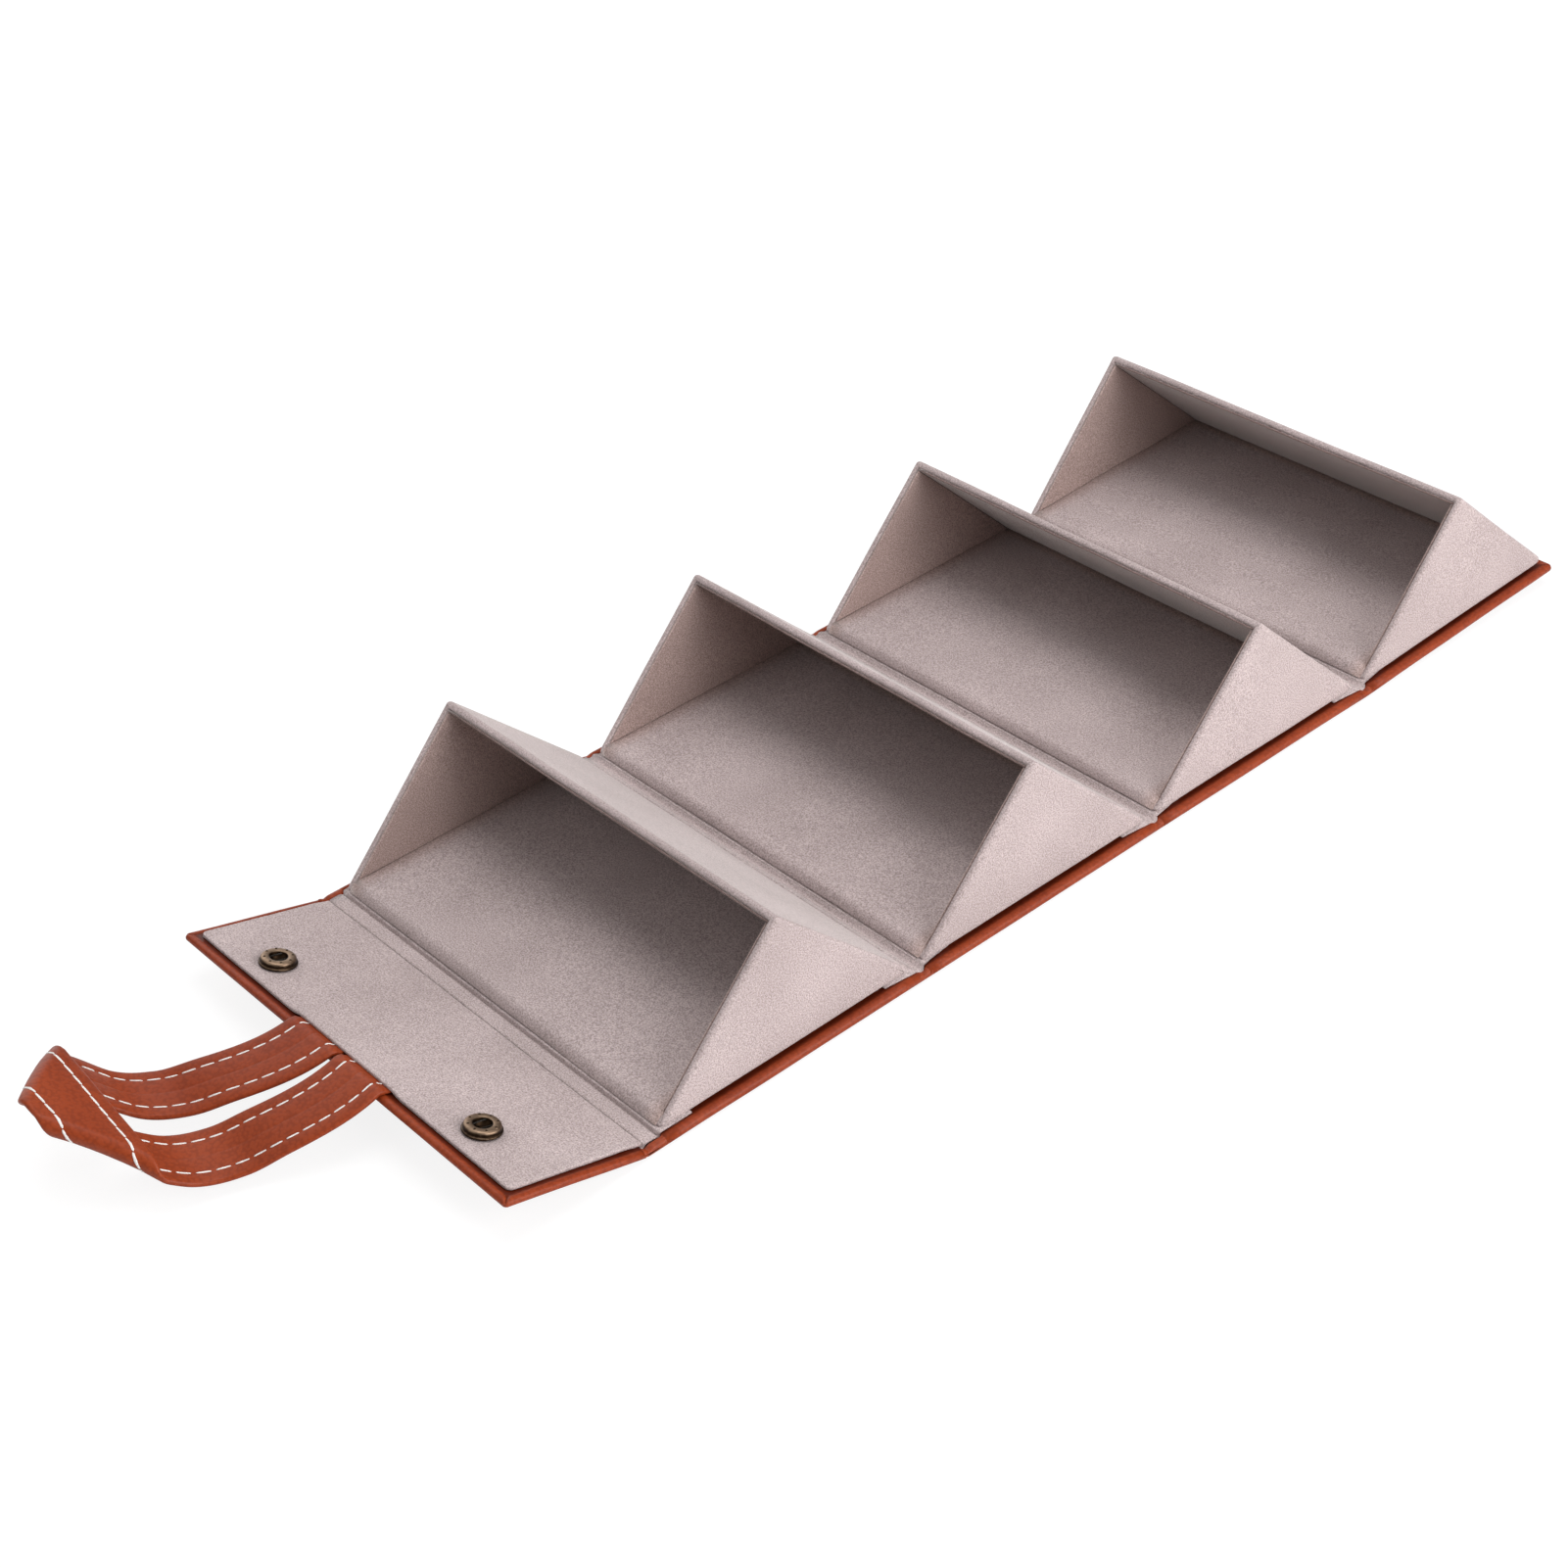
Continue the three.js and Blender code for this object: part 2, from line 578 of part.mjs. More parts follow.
function flap() {
  const { leather, board } = coverPanel([-FLAP_LENGTH, -FLAP_START], [true, false], FLAP_BOARD);
  const toAxis = -FLAP_AXIS_LEVEL;
  const liningFloor = FLAP_TOP + GLUE;
  const slab = softSlab(
    COVER_WIDTH - 2 * FLAP_LINING_MARGIN,
    [-FLAP_LENGTH + FLAP_LINING_MARGIN, -FLAP_START - FLAP_LINING_MARGIN / 2],
    [liningFloor, FLAP_FACE], FLAP_LINING_CORNER, FLAP_LINING / 3);
  const pocketHalf = LEG_OFFSET + STRAP_WIDTH / 2 + STRIP_PLAY;
  const pocket = box(
    [-pocketHalf, pocketHalf],
    [-FLAP_LENGTH, -FLAP_LENGTH + STRAP_END_LENGTH + STRIP_PLAY],
    [liningFloor - GLUE, FLAP_TOP + STRAP_END_THICKNESS + 2 * GLUE]);
  const holes = SNAP_SIDES.map(([, x]) =>
    rod(CAP_POST_RADIUS + HOLE_PLAY, [-2 * FLAP, 2 * FLAP_FACE]).translate(x, -SNAP_ALONG, 0));

  const group = new THREE.Group();
  group.add(
    piece('flap_leather', cut(leather.translate(0, 0, toAxis), ...holes), 'leather'),
    piece('flap_board', cut(board.translate(0, 0, toAxis), ...holes), 'board'),
    piece('flap_lining', cut(slab, pocket, ...holes), 'velvet'),
  );
  for (const [side, x] of SNAP_SIDES) {
    const onFace = FLAP_FACE + GLUE;
    group.add(
      piece(`snap_${side}_socket`, snapSocket().translate(x, -SNAP_ALONG, onFace), 'brass'),
      piece(`snap_${side}_spring`, snapSpring().translate(x, -SNAP_ALONG, onFace), 'steel'),
      piece(`snap_${side}_cap`, snapCap().translate(x, -SNAP_ALONG, -FLAP_TOP), 'brass'),
    );
  }
  for (const [side, x] of [['far', -LEG_OFFSET], ['near', LEG_OFFSET]]) {
    const end = strapEnd().translate(x, -FLAP_LENGTH, FLAP_TOP);
    group.add(piece(`strap_end_${side}`, end, 'leather'));
  }
  group.position.set(0, FLAP_AXIS, FLAP_AXIS_LEVEL);
  group.rotation.x = -FLAP_TILT;
  return group;
}

// The strap's shape, worked out as it is made. A point lies some way along the strip from the middle
// of the crossing, some way across it and at some height off its middle surface.
const SIDE_VIEW = new THREE.SplineCurve(STRAP_SIDE_VIEW.map(
  ([out, up]) => new THREE.Vector2(out, up).multiplyScalar(STRAP_REACH)));
const SIDE_VIEW_LENGTH = SIDE_VIEW.getLength();
const STRAP_AXIS_OUT = STRAP_THICKNESS / 2 + STRIP_PLAY + GLUE;

// First fold: past a diagonal crease the strip rolls under the crossing and runs back as a leg.
function rollUnder(along, across, height) {
  const side = Math.sign(along) || 1;
  const radius = side < 0 ? STRAP_FAR_ROLL : STRAP_NEAR_ROLL;
  const legAngle = -side * STRAP_TURN;
  const crease = new THREE.Vector2(side * (1 - Math.sin(legAngle)), Math.cos(legAngle)).normalize();
  const outward = new THREE.Vector2(side * Math.abs(crease.y), -Math.abs(crease.x));
  const past = (along - side * STRAP_CROSSING / 2) * outward.x + across * outward.y;
  const rise = THREE.MathUtils.lerp(2 * STRAP_FAR_ROLL, 2 * STRAP_NEAR_ROLL,
    THREE.MathUtils.smoothstep(along, -STRAP_CROSSING / 2, STRAP_CROSSING / 2));
  if (past <= 0) {
    return new THREE.Vector3(along, across, height + rise);
  }
  const turn = Math.min(past / radius, Math.PI);
  const beyond = Math.max(past - Math.PI * radius, 0);
  const shift = (radius + height) * Math.sin(turn) - beyond - past;
  return new THREE.Vector3(
    along + outward.x * shift,
    across + outward.y * shift,
    rise - radius + (radius + height) * Math.cos(turn));
}

// How far from the crossing's middle a leg's centre line lies once it is folded
function legPlace(side) {
  const leg = rollUnder(side * 2 * STRAP_REACH, 0, 0);
  leg.applyAxisAngle(new THREE.Vector3(0, 0, 1), STRAP_TURN);
  return leg;
}

// Then the folded strip turns, its legs draw together towards the flap, it leans and twists,
// and it follows the side view.
function strapPoint(along, across, height) {
  const point = rollUnder(along, across, height);
  point.applyAxisAngle(new THREE.Vector3(0, 0, 1), STRAP_TURN);
  const out = STRAP_REACH - point.y;
  const grown = THREE.MathUtils.smoothstep(out, 0, STRAP_REACH);
  const side = THREE.MathUtils.clamp(along / (STRAP_CROSSING / 2), -1, 1);
  const drawn = legPlace(side < 0 ? -1 : 1).x - Math.sign(side) * LEG_OFFSET;
  const x = point.x - Math.abs(side) * drawn * (1 - THREE.MathUtils.clamp(out / STRAP_REACH, 0, 1));
  const twist = STRAP_TWIST * grown;
  const level = -x * Math.sin(twist) + point.z * Math.cos(twist);
  const share = THREE.MathUtils.clamp(out / SIDE_VIEW_LENGTH, 0, 1);
  const onCurve = SIDE_VIEW.getPointAt(share);
  const heading = SIDE_VIEW.getTangentAt(share);
  const past = out - share * SIDE_VIEW_LENGTH;
  return new THREE.Vector3(
    x * Math.cos(twist) + point.z * Math.sin(twist) - STRAP_LEAN * grown,
    -(onCurve.x + heading.x * past - heading.y * level),
    onCurve.y + heading.y * past + heading.x * level);
}

// The mesh's rows run straight across the strip in its legs and lie at 45 degrees, as the creases do,
// where it folds, so that the folds come out smooth.
function leanWithCrease(along, across) {
  const fromMiddle = Math.abs(along) / (STRAP_CROSSING / 2);
  const lean = Math.min(fromMiddle, 1) * (1 - THREE.MathUtils.smoothstep(fromMiddle, 2, 5));
  return along + Math.sign(along) * lean * across;
}

// The free loop starts just off the flap's edge with a rounded end, so that it can swing there.
function strapLoop() {
  const start = STRAP_AXIS_OUT - STRAP_THICKNESS / 2;
  const halfLength = (side) => {
    const far = legPlace(side);
    return 2 * STRAP_REACH - (far.y - (STRAP_REACH - start));
  };
  const strip = new THREE.BoxGeometry(2, STRAP_WIDTH, STRAP_THICKNESS, STRAP_STEPS, STRAP_STEPS_ACROSS, 1);
  const places = strip.attributes.position;
  const corner = new THREE.Vector3();
  for (let index = 0; index < places.count; index += 1) {
    corner.fromBufferAttribute(places, index);
    const side = corner.x < 0 ? -1 : 1;
    const along = corner.x * halfLength(side);
    const fromEnd = halfLength(side) - Math.abs(along);
    const gone = Math.max(1 - fromEnd / (STRAP_THICKNESS / 2), 0);
    const roundness = Math.max(Math.sqrt(1 - gone ** 2), 0.3);
    const moved = strapPoint(leanWithCrease(along, corner.y), corner.y, corner.z * roundness);
    places.setXYZ(index, moved.x, moved.y, moved.z);
  }
  strip.deleteAttribute('normal');
  strip.deleteAttribute('uv');
  const loop = mergeVertices(strip, 1e-4);
  loop.computeVertexNormals();
  return loop;
}

// Panels, from the flap's end of the row. The last one carries the studs.
function panel(number) {
  const index = number - 1;
  const isFirst = index === 0;
  const isLast = index === TRAY_COUNT - 1;
  const front = isFirst ? ROW_FRONT - PANEL_STEP : foldAxis(index - 1) + PANEL_SETBACK;
  const back = isLast ? frontOfTray(index) + TRAY_BASE + END_MARGIN : foldAxis(index) - PANEL_SETBACK;
  const { leather, board } = coverPanel([front, back], [false, isLast], PANEL_BOARD);
  const group = new THREE.Group();
  const studs = isLast ? SNAP_SIDES : [];
  const studPlace = foldAxis(index - 1) + STUD_FROM_FOLD;
  const pins = studs.map(([, x]) =>
    rod(STUD_BORE_RADIUS + HOLE_PLAY, [-COVER, 2 * COVER]).translate(x, studPlace, 0));
  const seats = studs.map(([, x]) =>
    rod(RIVET_FLANGE_RADIUS + HOLE_PLAY, [COVER - RIVET_FLANGE - 2 * GLUE, 2 * COVER])
      .translate(x, studPlace, 0));
  group.add(
    piece(`panel_${number}_leather`, cut(leather, ...pins), 'leather'),
    piece(`panel_${number}_board`, cut(board, ...pins, ...seats), 'board'),
    tray(number),
  );
  for (const [side, x] of studs) {
    group.add(
      piece(`snap_${side}_stud`, snapStud().translate(x, studPlace, 0), 'brass'),
      piece(`snap_${side}_rivet`, studRivet().translate(x, studPlace, 0), 'brass'),
    );
  }
  return group;
}

// A group turned about a line along X
function turnedAbout(y, z, angle, child) {
  const pivot = new THREE.Group();
  child.position.set(0, -y, -z);
  pivot.add(child);
  pivot.position.set(0, y, z);
  pivot.rotation.x = angle;
  return pivot;
}

const sunglassesCase = new THREE.Group();
for (let number = 1; number <= TRAY_COUNT; number += 1) {
  const index = number - 1;
  const isLast = number === TRAY_COUNT;
  const body = panel(number);
  sunglassesCase.add(isLast ? turnedAbout(foldAxis(index - 1), FOLD_LEVEL, LAST_TILT, body) : body);
  if (!isLast) {
    const restAngle = number === TRAY_COUNT - 1 ? LAST_TILT : 0;
    sunglassesCase.add(...foldStrips(`fold_${number}_${number + 1}`, index, restAngle));
  }
}
sunglassesCase.add(...flapStrips());

const flapGroup = flap();
flapGroup.updateMatrix();
sunglassesCase.add(flapGroup);

const strap = piece('handle_strap', strapLoop(), 'leather');
const strapSeat = FLAP_TOP + GLUE / 2 + STRAP_THICKNESS / 2;
strap.position.copy(new THREE.Vector3(0, -FLAP_LENGTH, strapSeat).applyMatrix4(flapGroup.matrix));
sunglassesCase.add(strap);

// Where the folds turn and how far, for whoever animates the case
const degrees = THREE.MathUtils.radToDeg;
const strapAxis = new THREE.Vector3(0, -FLAP_LENGTH - STRAP_AXIS_OUT, strapSeat)
  .applyMatrix4(flapGroup.matrix);
sunglassesCase.userData.folds = {
  flap: { axis: [FLAP_AXIS, FLAP_AXIS_LEVEL], range: [-degrees(FLAP_TILT), degrees(FLAP_CLOSED)] },
  rows: Array.from({ length: TRAY_COUNT - 1 }, (_, index) => ({
    axis: [foldAxis(index), FOLD_LEVEL],
    rest: index === TRAY_COUNT - 2 ? degrees(LAST_TILT) : 0,
    closed: degrees(FOLD),
  })),
  strap: { axis: [strapAxis.y, strapAxis.z] },
};

export default sunglassesCase;
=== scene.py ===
# %% [markdown]
# # A folding sunglasses case
# Four velvet trays stand in a row on a jointed leather cover. The cover rolls up so that the trays form a
# block, and a flap with two snap fasteners and a looped strap closes it. The plain solids of the CAD model
# come in first, as a frame that gives places and main sizes. Each later step dresses one kind of piece.

import bisect
import json
import math

import bmesh
import bpy
from mathutils import Matrix, Vector, noise


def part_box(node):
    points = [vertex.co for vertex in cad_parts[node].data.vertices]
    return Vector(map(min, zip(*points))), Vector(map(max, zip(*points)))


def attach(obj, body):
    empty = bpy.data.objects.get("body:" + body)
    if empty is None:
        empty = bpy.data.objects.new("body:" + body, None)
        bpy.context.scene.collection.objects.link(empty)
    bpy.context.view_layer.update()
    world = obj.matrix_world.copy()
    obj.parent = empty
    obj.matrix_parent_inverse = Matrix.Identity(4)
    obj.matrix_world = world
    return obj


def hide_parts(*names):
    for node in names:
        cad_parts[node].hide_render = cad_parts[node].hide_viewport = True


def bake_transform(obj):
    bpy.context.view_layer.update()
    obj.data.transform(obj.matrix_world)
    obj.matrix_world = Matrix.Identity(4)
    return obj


MM = 0.001
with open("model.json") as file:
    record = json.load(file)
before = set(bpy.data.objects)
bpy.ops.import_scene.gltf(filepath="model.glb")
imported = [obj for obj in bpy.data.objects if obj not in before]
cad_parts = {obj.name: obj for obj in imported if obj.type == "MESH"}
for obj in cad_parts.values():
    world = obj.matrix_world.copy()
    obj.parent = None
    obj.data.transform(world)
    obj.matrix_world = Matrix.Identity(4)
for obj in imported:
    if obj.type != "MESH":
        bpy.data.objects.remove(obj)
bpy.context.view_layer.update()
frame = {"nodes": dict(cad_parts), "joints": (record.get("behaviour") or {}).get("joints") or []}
joints = {joint["name"]: joint for joint in frame["joints"]}
joint_at = {name: Vector(joint["pos_m"]) for name, joint in joints.items()}
print("CAD nodes:", len(frame["nodes"]), "joints:", ", ".join(sorted(joint_at)))

# %% [markdown]
# ## Small helpers for materials
# Every finish is a node tree, so a few helpers keep the later cells short. The grain of a material is a node
# group that hands out a colour and a height. The shader that uses them stays in the material itself.

# %% Materials and their grain
def new_grain(name):
    group = bpy.data.node_groups.new(name, "ShaderNodeTree")
    for label, kind in (("Colour", "NodeSocketColor"), ("Height", "NodeSocketFloat")):
        group.interface.new_socket(label, in_out="OUTPUT", socket_type=kind)
    return group


def hand_out(group, colour, height):
    output = group.nodes.new("NodeGroupOutput")
    group.links.new(colour, output.inputs["Colour"])
    group.links.new(height, output.inputs["Height"])
    return group


def new_material(name, group):
    material = bpy.data.materials.new(name)
    material.use_nodes = True
    tree = material.node_tree
    shader = tree.nodes["Principled BSDF"]
    grain = tree.nodes.new("ShaderNodeGroup")
    grain.node_tree = group
    tree.links.new(grain.outputs["Colour"], shader.inputs["Base Color"])
    bump = tree.nodes.new("ShaderNodeBump")
    tree.links.new(grain.outputs["Height"], bump.inputs["Height"])
    tree.links.new(bump.outputs["Normal"], shader.inputs["Normal"])
    return material, shader, bump


# %% Nodes that work out a value
def add_node(tree, kind, **inputs):
    node = tree.nodes.new(kind)
    for label, value in inputs.items():
        node.inputs[label].default_value = value
    return node


def object_place(tree):
    return tree.nodes.new("ShaderNodeTexCoord").outputs["Object"]


def stored_number(tree, name):
    node = tree.nodes.new("ShaderNodeAttribute")
    node.attribute_name = name
    return node.outputs["Fac"]


def noise_at(tree, place, scale, detail):
    texture = add_node(tree, "ShaderNodeTexNoise", Scale=scale, Detail=detail)
    tree.links.new(place, texture.inputs["Vector"])
    return texture.outputs["Fac"]


def ramp(tree, factor, *stops):
    node = tree.nodes.new("ShaderNodeValToRGB")
    while len(node.color_ramp.elements) < len(stops):
        node.color_ramp.elements.new(0.5)
    for element, (position, colour) in zip(node.color_ramp.elements, stops):
        element.position = position
        element.color = (*colour, 1)
    tree.links.new(factor, node.inputs["Fac"])
    return node.outputs["Color"]


def calculate(tree, operation, first, second):
    node = tree.nodes.new("ShaderNodeMath")
    node.operation = operation
    for socket, value in zip(node.inputs, (first, second)):
        if isinstance(value, (int, float)):
            socket.default_value = value
        else:
            tree.links.new(value, socket)
    return node.outputs["Value"]


def multiply_colours(tree, amount, first, second):
    node = tree.nodes.new("ShaderNodeMix")
    node.data_type = "RGBA"
    node.blend_type = "MULTIPLY"
    node.inputs["Factor"].default_value = amount
    tree.links.new(first, node.inputs["A"])
    tree.links.new(second, node.inputs["B"])
    return node.outputs["Result"]


# %% [markdown]
# ## Tan leather
# The cover and the strap are coated leather with a fine pebbled grain and a soft shine. The pebbles are
# cells of a Voronoi texture, smoothed so that their borders are soft. A slow noise varies the tan, and the
# borders of the pebbles are a little darker, as dye gathers there. The leather is also painted darker in the
# crease behind a wrapped edge, as painted shade for the shadow that falls there. How deep in a crease a point
# lies is a number stored on it.

# %% Leather
WHITE = (1.0, 1.0, 1.0)
LEATHER_DARK = (0.230, 0.033, 0.008)
LEATHER_LIGHT = (0.290, 0.047, 0.012)
TAN_PATCHES_PER_METRE = 22
PEBBLES_PER_METRE = 900
PEBBLE_BORDER = (0.78, 0.74, 0.72)
WRINKLES_PER_METRE = 340
WRINKLE_HEIGHT = 0.8
CREASE_SHADE_COLOUR = (0.34, 0.26, 0.22)

group = new_grain("leather grain")
place = object_place(group)
pebbles = add_node(group, "ShaderNodeTexVoronoi", Scale=PEBBLES_PER_METRE)
pebbles.feature = "SMOOTH_F1"
pebbles.inputs["Smoothness"].default_value = 0.6
group.links.new(place, pebbles.inputs["Vector"])
swell = calculate(group, "SUBTRACT", 1.0, pebbles.outputs["Distance"])
wrinkles = noise_at(group, place, WRINKLES_PER_METRE, 6)
height = calculate(group, "ADD", swell, calculate(group, "MULTIPLY", wrinkles, WRINKLE_HEIGHT))
patches = noise_at(group, place, TAN_PATCHES_PER_METRE, 4)
tan = ramp(group, patches, (0.3, LEATHER_DARK), (0.7, LEATHER_LIGHT))
border = ramp(group, height, (0.75, PEBBLE_BORDER), (1.0, WHITE))
grained = multiply_colours(group, 0.8, tan, border)
# Painted shade: the leather is painted darker in the crease behind a wrapped edge.
painted_crease_shade = ramp(group, stored_number(group, "crease"), (0.0, WHITE), (1.0, CREASE_SHADE_COLOUR))
leather_grain = hand_out(group, multiply_colours(group, 1.0, grained, painted_crease_shade), height)

leather, leather_shader, leather_bump = new_material("tan leather", leather_grain)
leather_shader.inputs["Roughness"].default_value = 0.4
leather_shader.inputs["Specular IOR Level"].default_value = 0.2
leather_bump.inputs["Strength"].default_value = 0.5
leather_bump.inputs["Distance"].default_value = 0.10 * MM
print("material:", leather.name)

# %% [markdown]
# ## Grey velvet
# The trays and the flap are lined with a short-napped velvet. Four things make it: broad patches where the
# nap has been brushed either way, a fine grain, a pale bloom on faces that turn away, which is the shader's
# sheen, and painted shade inside the trays: their ends are painted warmer and their backs darker, for the
# shade and bounced light that fall there. Where that painted shade goes is a number stored on each point.

# %% Velvet
VELVET_DARK = (0.52, 0.430, 0.423)
VELVET_LIGHT = (0.645, 0.539, 0.534)
VELVET_SPECKLE = (0.38, 0.36, 0.35)
VELVET_PATCHES_PER_METRE = 30
VELVET_GRAIN_PER_METRE = 2000
VELVET_RELIEF_PER_METRE = 1400
# Painted shade and bounced light inside the trays: the ends are painted warmer and the backs darker.
PAINTED_SHADE_ON_ENDS = (0.97, 0.88, 0.82)
PAINTED_SHADE_ON_BACK = (0.57, 0.50, 0.47)
END_MARK = 0.5
BACK_MARK = 1.0

group = new_grain("velvet nap")
place = object_place(group)
patches = noise_at(group, place, VELVET_PATCHES_PER_METRE, 5)
brushed = ramp(group, patches, (0.25, VELVET_DARK), (0.75, VELVET_LIGHT))
grain = noise_at(group, place, VELVET_GRAIN_PER_METRE, 2)
speckle = ramp(group, grain, (0.3, VELVET_SPECKLE), (0.7, WHITE))
grained = multiply_colours(group, 0.85, brushed, speckle)
# Painted shade inside the trays, placed by the number stored on each point.
inner_shade = stored_number(group, "inner_shade")
painted_inner_shade = ramp(group, inner_shade, (0.0, WHITE), (END_MARK, PAINTED_SHADE_ON_ENDS), (BACK_MARK, PAINTED_SHADE_ON_BACK))
relief = noise_at(group, place, VELVET_RELIEF_PER_METRE, 3)
velvet_nap_and_shade = hand_out(group, multiply_colours(group, 1.0, grained, painted_inner_shade), relief)

velvet, velvet_shader, velvet_bump = new_material("grey velvet", velvet_nap_and_shade)
velvet_shader.inputs["Roughness"].default_value = 0.95
velvet_shader.inputs["Specular IOR Level"].default_value = 0.1
velvet_shader.inputs["Sheen Weight"].default_value = 0.65
velvet_shader.inputs["Sheen Roughness"].default_value = 0.22
velvet_shader.inputs["Sheen Tint"].default_value = (1.0, 0.95, 0.93, 1)
velvet_bump.inputs["Strength"].default_value = 0.6
velvet_bump.inputs["Distance"].default_value = 0.25 * MM
print("material:", velvet.name)

# %% [markdown]
# ## Antique brass, steel and thread
# The snap fasteners are brass that was darkened on purpose and then rubbed bright again on its raised rings.
# Where it is bright is stored on the mesh, as a number called wear on each point, so one material serves all
# of the fasteners. The springs are drawn steel wire, and the stitches are white waxed thread. Springs and
# rivets keep the plain shape of the CAD model and only get their finish.

# %% Brass
BRASS_DARK = (0.028, 0.016, 0.009)
BRASS_BRIGHT = (0.32, 0.22, 0.15)
BRASS_SPOTS_PER_METRE = 900
SPOT_CONTRAST = 0.6

group = new_grain("brass patina")
spots = noise_at(group, object_place(group), BRASS_SPOTS_PER_METRE, 4)
scattered = calculate(group, "MULTIPLY", calculate(group, "SUBTRACT", spots, 0.5), SPOT_CONTRAST)
shown = calculate(group, "ADD", stored_number(group, "wear"), scattered)
brass_patina = hand_out(group, ramp(group, shown, (0.1, BRASS_DARK), (0.9, BRASS_BRIGHT)), spots)

brass, brass_shader, brass_bump = new_material("antique brass", brass_patina)
brass_shader.inputs["Metallic"].default_value = 1.0
brass_shader.inputs["Roughness"].default_value = 0.42
brass_bump.inputs["Strength"].default_value = 0.15
brass_bump.inputs["Distance"].default_value = 0.05 * MM
print("material:", brass.name)

# %% Steel and thread
STEEL_DARK = (0.03, 0.027, 0.024)
STEEL_LIGHT = (0.07, 0.062, 0.055)
STEEL_MARKS_PER_METRE = 2500
THREAD_DARK = (0.66, 0.63, 0.60)
THREAD_LIGHT = (0.88, 0.87, 0.85)
THREAD_TWISTS_PER_METRE = 2600
SNAP_SIDES = {"left": -1, "right": 1}


def plain_grain(name, dark, light, per_metre):
    group = new_grain(name)
    grain = noise_at(group, object_place(group), per_metre, 3)
    return hand_out(group, ramp(group, grain, (0.3, dark), (0.7, light)), grain)


steel_grain = plain_grain("wire drawing", STEEL_DARK, STEEL_LIGHT, STEEL_MARKS_PER_METRE)
steel, steel_shader, steel_bump = new_material("spring steel", steel_grain)
steel_shader.inputs["Metallic"].default_value = 1.0
steel_shader.inputs["Roughness"].default_value = 0.3
steel_bump.inputs["Distance"].default_value = 0.02 * MM

thread_grain = plain_grain("thread twist", THREAD_DARK, THREAD_LIGHT, THREAD_TWISTS_PER_METRE)
thread, thread_shader, thread_bump = new_material("white thread", thread_grain)
thread_shader.inputs["Roughness"].default_value = 0.7
thread_bump.inputs["Distance"].default_value = 0.12 * MM

for side in SNAP_SIDES:
    frame["nodes"][f"snap_{side}_spring"].data.materials[0] = steel
    frame["nodes"][f"snap_{side}_rivet"].data.materials[0] = brass
print("materials:", steel.name, thread.name)

# %% [markdown]
# ## Making a finished piece
# A bmesh is Blender's editable mesh: points and faces can be added one by one, and operators such as bevel
# work on it. When it is done it becomes an object. Each object is given the CAD nodes that it stands for, and
# those are hidden.

# %% Finished pieces
def finished(name, bm, material, slot, *nodes):
    bmesh.ops.recalc_face_normals(bm, faces=bm.faces[:])
    mesh = bpy.data.meshes.new(name)
    bm.to_mesh(mesh)
    bm.free()
    mesh.materials.append(material)
    mesh.shade_smooth()
    piece = bpy.data.objects.new(name, mesh)
    bpy.context.collection.objects.link(piece)
    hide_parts(*nodes)
    print(f"{name}: {len(mesh.polygons)} faces")
    return piece


def store_number(bm, name, number_at):
    layer = bm.verts.layers.float.new(name)
    for vert in bm.verts:
        vert[layer] = number_at(vert.co)


# %% [markdown]
# ## The trays
# A tray is a wedge: a base, a sloping back and two triangular ends, all of board wrapped in velvet. The open
# side slopes the other way. Seen from outside, the wrap is one skin that turns over the rim, so it is built
# as one hollow wedge from two nested triangles, with its edges rounded. Velvet over board is never quite
# flat, so the skin is sliced into cells of a few millimetres and nudged by a slow noise. The noise gets a
# seed, because it would otherwise start from the clock and differ from run to run.

# %% Tray sizes from the frame
TRAYS = (1, 2, 3, 4)
wrap_low, wrap_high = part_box("tray_1_outer_velvet")
PITCH = joint_at["fold_2_3"].y - joint_at["fold_1_2"].y
HINGE_GAP = 4.6 * MM
TRAY_BASE = PITCH - HINGE_GAP
TRAY_HALF = wrap_high.x
TRAY_FRONT = joint_at["fold_1_2"].y - HINGE_GAP / 2 - TRAY_BASE
TRAY_WALL = 2.6 * MM
LAST_TILT = math.radians(-joints["fold_3_4"]["range_deg"][0])
ROOT2 = math.sqrt(2)


def tilted(number):
    if number < TRAYS[-1]:
        return Matrix.Identity(4)
    pivot = joint_at["fold_3_4"]
    return Matrix.Translation(pivot) @ Matrix.Rotation(LAST_TILT, 4, "X") @ Matrix.Translation(-pivot)


def tray_place(number):
    front = Vector((0, TRAY_FRONT + (number - 1) * PITCH, wrap_low.z))
    return tilted(number) @ Matrix.Translation(front)


# The wedge's corners, moved in by inset from its base and back, and by rim from its open side.
def tray_section(inset, rim):
    toe = (inset + rim * ROOT2, inset)
    heel = (TRAY_BASE - inset * (1 + ROOT2), inset)
    ridge = ((TRAY_BASE - (inset - rim) * ROOT2) / 2, (TRAY_BASE - (inset + rim) * ROOT2) / 2)
    return toe, heel, ridge


print(f"tray: {TRAY_BASE / MM:.1f} mm base, {2 * TRAY_HALF / MM:.1f} mm long")

# %% Rounding, slicing and softening
TOUCHING = 0.01 * MM
noise.seed_set(1)


def edges_along_x(bm, keep):
    found = []
    for edge in bm.edges:
        first, second = (vert.co for vert in edge.verts)
        if (second - first).yz.length < TOUCHING and keep((first + second) / 2):
            found.append(edge)
    return found


def round_edges(bm, edges, radius, segments):
    bmesh.ops.recalc_face_normals(bm, faces=bm.faces[:])
    bmesh.ops.bevel(bm, geom=edges, offset=radius, offset_type="OFFSET", segments=segments,
                    profile=0.5, affect="EDGES", clamp_overlap=False, material=-1)


